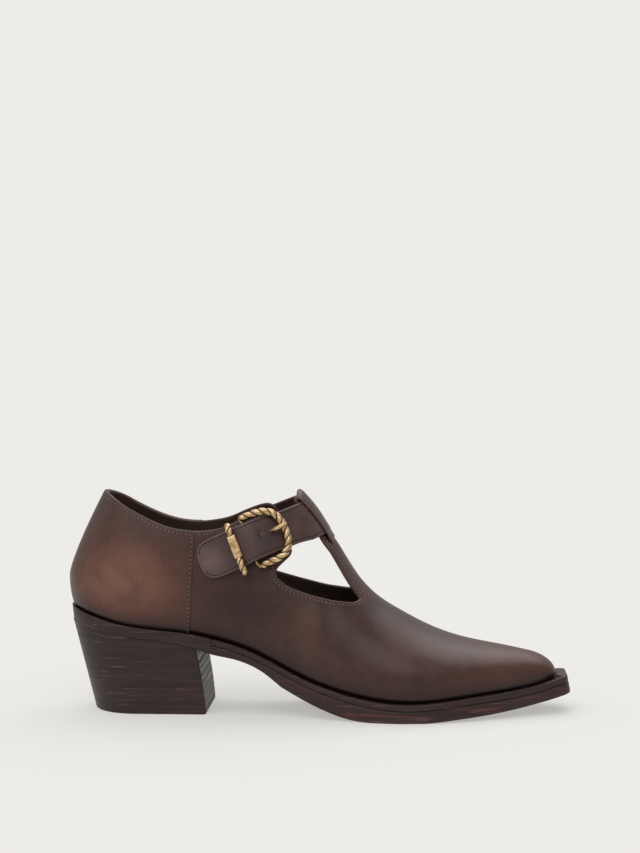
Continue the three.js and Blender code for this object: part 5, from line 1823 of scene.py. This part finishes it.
# The floor is lit from below by this share, as on a light table
FLOOR_GLOW = 0.5
SUNS = (
    # strength, azimuth from +X, elevation, angular size in degrees
    (1.15, -105, 52, 60),
    (1.25, 80, 60, 55),
    (0.3, 180, 42, 60),
)
sun_light = sum(e * math.sin(math.radians(elevation)) / math.pi for e, _, elevation, _ in SUNS)
for index, (strength, azimuth, elevation, size) in enumerate(SUNS):
    data = bpy.data.lights.new(f"studio_light_{index}", "SUN")
    data.energy = strength
    data.angle = math.radians(size)
    lamp = bpy.data.objects.new(data.name, data)
    a, e = math.radians(azimuth), math.radians(elevation)
    towards = Vector((math.cos(a) * math.cos(e), math.sin(a) * math.cos(e), math.sin(e)))
    lamp.rotation_euler = towards.to_track_quat("Z", "Y").to_euler()
    bpy.context.scene.collection.objects.link(lamp)

world = bpy.data.worlds.new("studio")
world.use_nodes = True
backdrop = world.node_tree.nodes["Background"]
backdrop.inputs["Color"].default_value = (*PALE, 1)
rays = world.node_tree.nodes.new("ShaderNodeLightPath")
share_node = world.node_tree.nodes.new("ShaderNodeMapRange")
share_node.inputs["To Min"].default_value = WORLD_SHARE
share_node.inputs["To Max"].default_value = 1.0
world.node_tree.links.new(rays.outputs["Is Camera Ray"], share_node.inputs["Value"])
world.node_tree.links.new(share_node.outputs["Result"], backdrop.inputs["Strength"])
bpy.context.scene.world = world

floor_material = bpy.data.materials.new("floor_paper")
floor_material.use_nodes = True
floor_material.node_tree.nodes.clear()
floor_out = floor_material.node_tree.nodes.new("ShaderNodeOutputMaterial")
floor_shader = floor_material.node_tree.nodes.new("ShaderNodeBsdfDiffuse")
floor_shader.inputs["Color"].default_value = (*[c / (WORLD_SHARE * c + sun_light) for c in PALE], 1)
floor_glow = floor_material.node_tree.nodes.new("ShaderNodeEmission")
floor_glow.inputs["Color"].default_value = (*PALE, 1)
floor_mix = floor_material.node_tree.nodes.new("ShaderNodeMixShader")
floor_mix.inputs["Fac"].default_value = FLOOR_GLOW
floor_material.node_tree.links.new(floor_shader.outputs[0], floor_mix.inputs[1])
floor_material.node_tree.links.new(floor_glow.outputs[0], floor_mix.inputs[2])
floor_material.node_tree.links.new(floor_mix.outputs[0], floor_out.inputs["Surface"])
floor_rings = []
FLOOR_SIDES = 48
floor_turns = [2 * math.pi * k / FLOOR_SIDES for k in range(FLOOR_SIDES)]
for radius in (0.5, 1.5, 5, 20, 80, 300):
    floor_rings.append([(radius * math.cos(a), radius * math.sin(a), 0) for a in floor_turns])
floor_points = np.array(floor_rings).reshape(-1, 3) / METRE - PLACE
floor_faces = grid_faces(len(floor_rings), FLOOR_SIDES, closed_columns=True)
floor_faces.append(list(range(FLOOR_SIDES)))
floor_points[:, 2] = 0
floor = mesh_object("studio_floor", floor_points, floor_faces, [floor_material])

camera_data = bpy.data.cameras.new("camera")
camera_data.lens = 85
camera_data.sensor_width = 36
camera_data.clip_end = 1000
camera = bpy.data.objects.new("camera", camera_data)
camera.location = (0.05596, -1.12482, 0.2079)
yaw, pitch = math.radians(2.8), math.radians(2.488)
level = math.cos(pitch)
direction = Vector((-math.sin(yaw) * level, math.cos(yaw) * level, -math.sin(pitch)))
camera.rotation_euler = direction.to_track_quat("-Z", "Y").to_euler()
bpy.context.scene.collection.objects.link(camera)
bpy.context.scene.camera = camera
bpy.context.scene.view_settings.view_transform = "Standard"
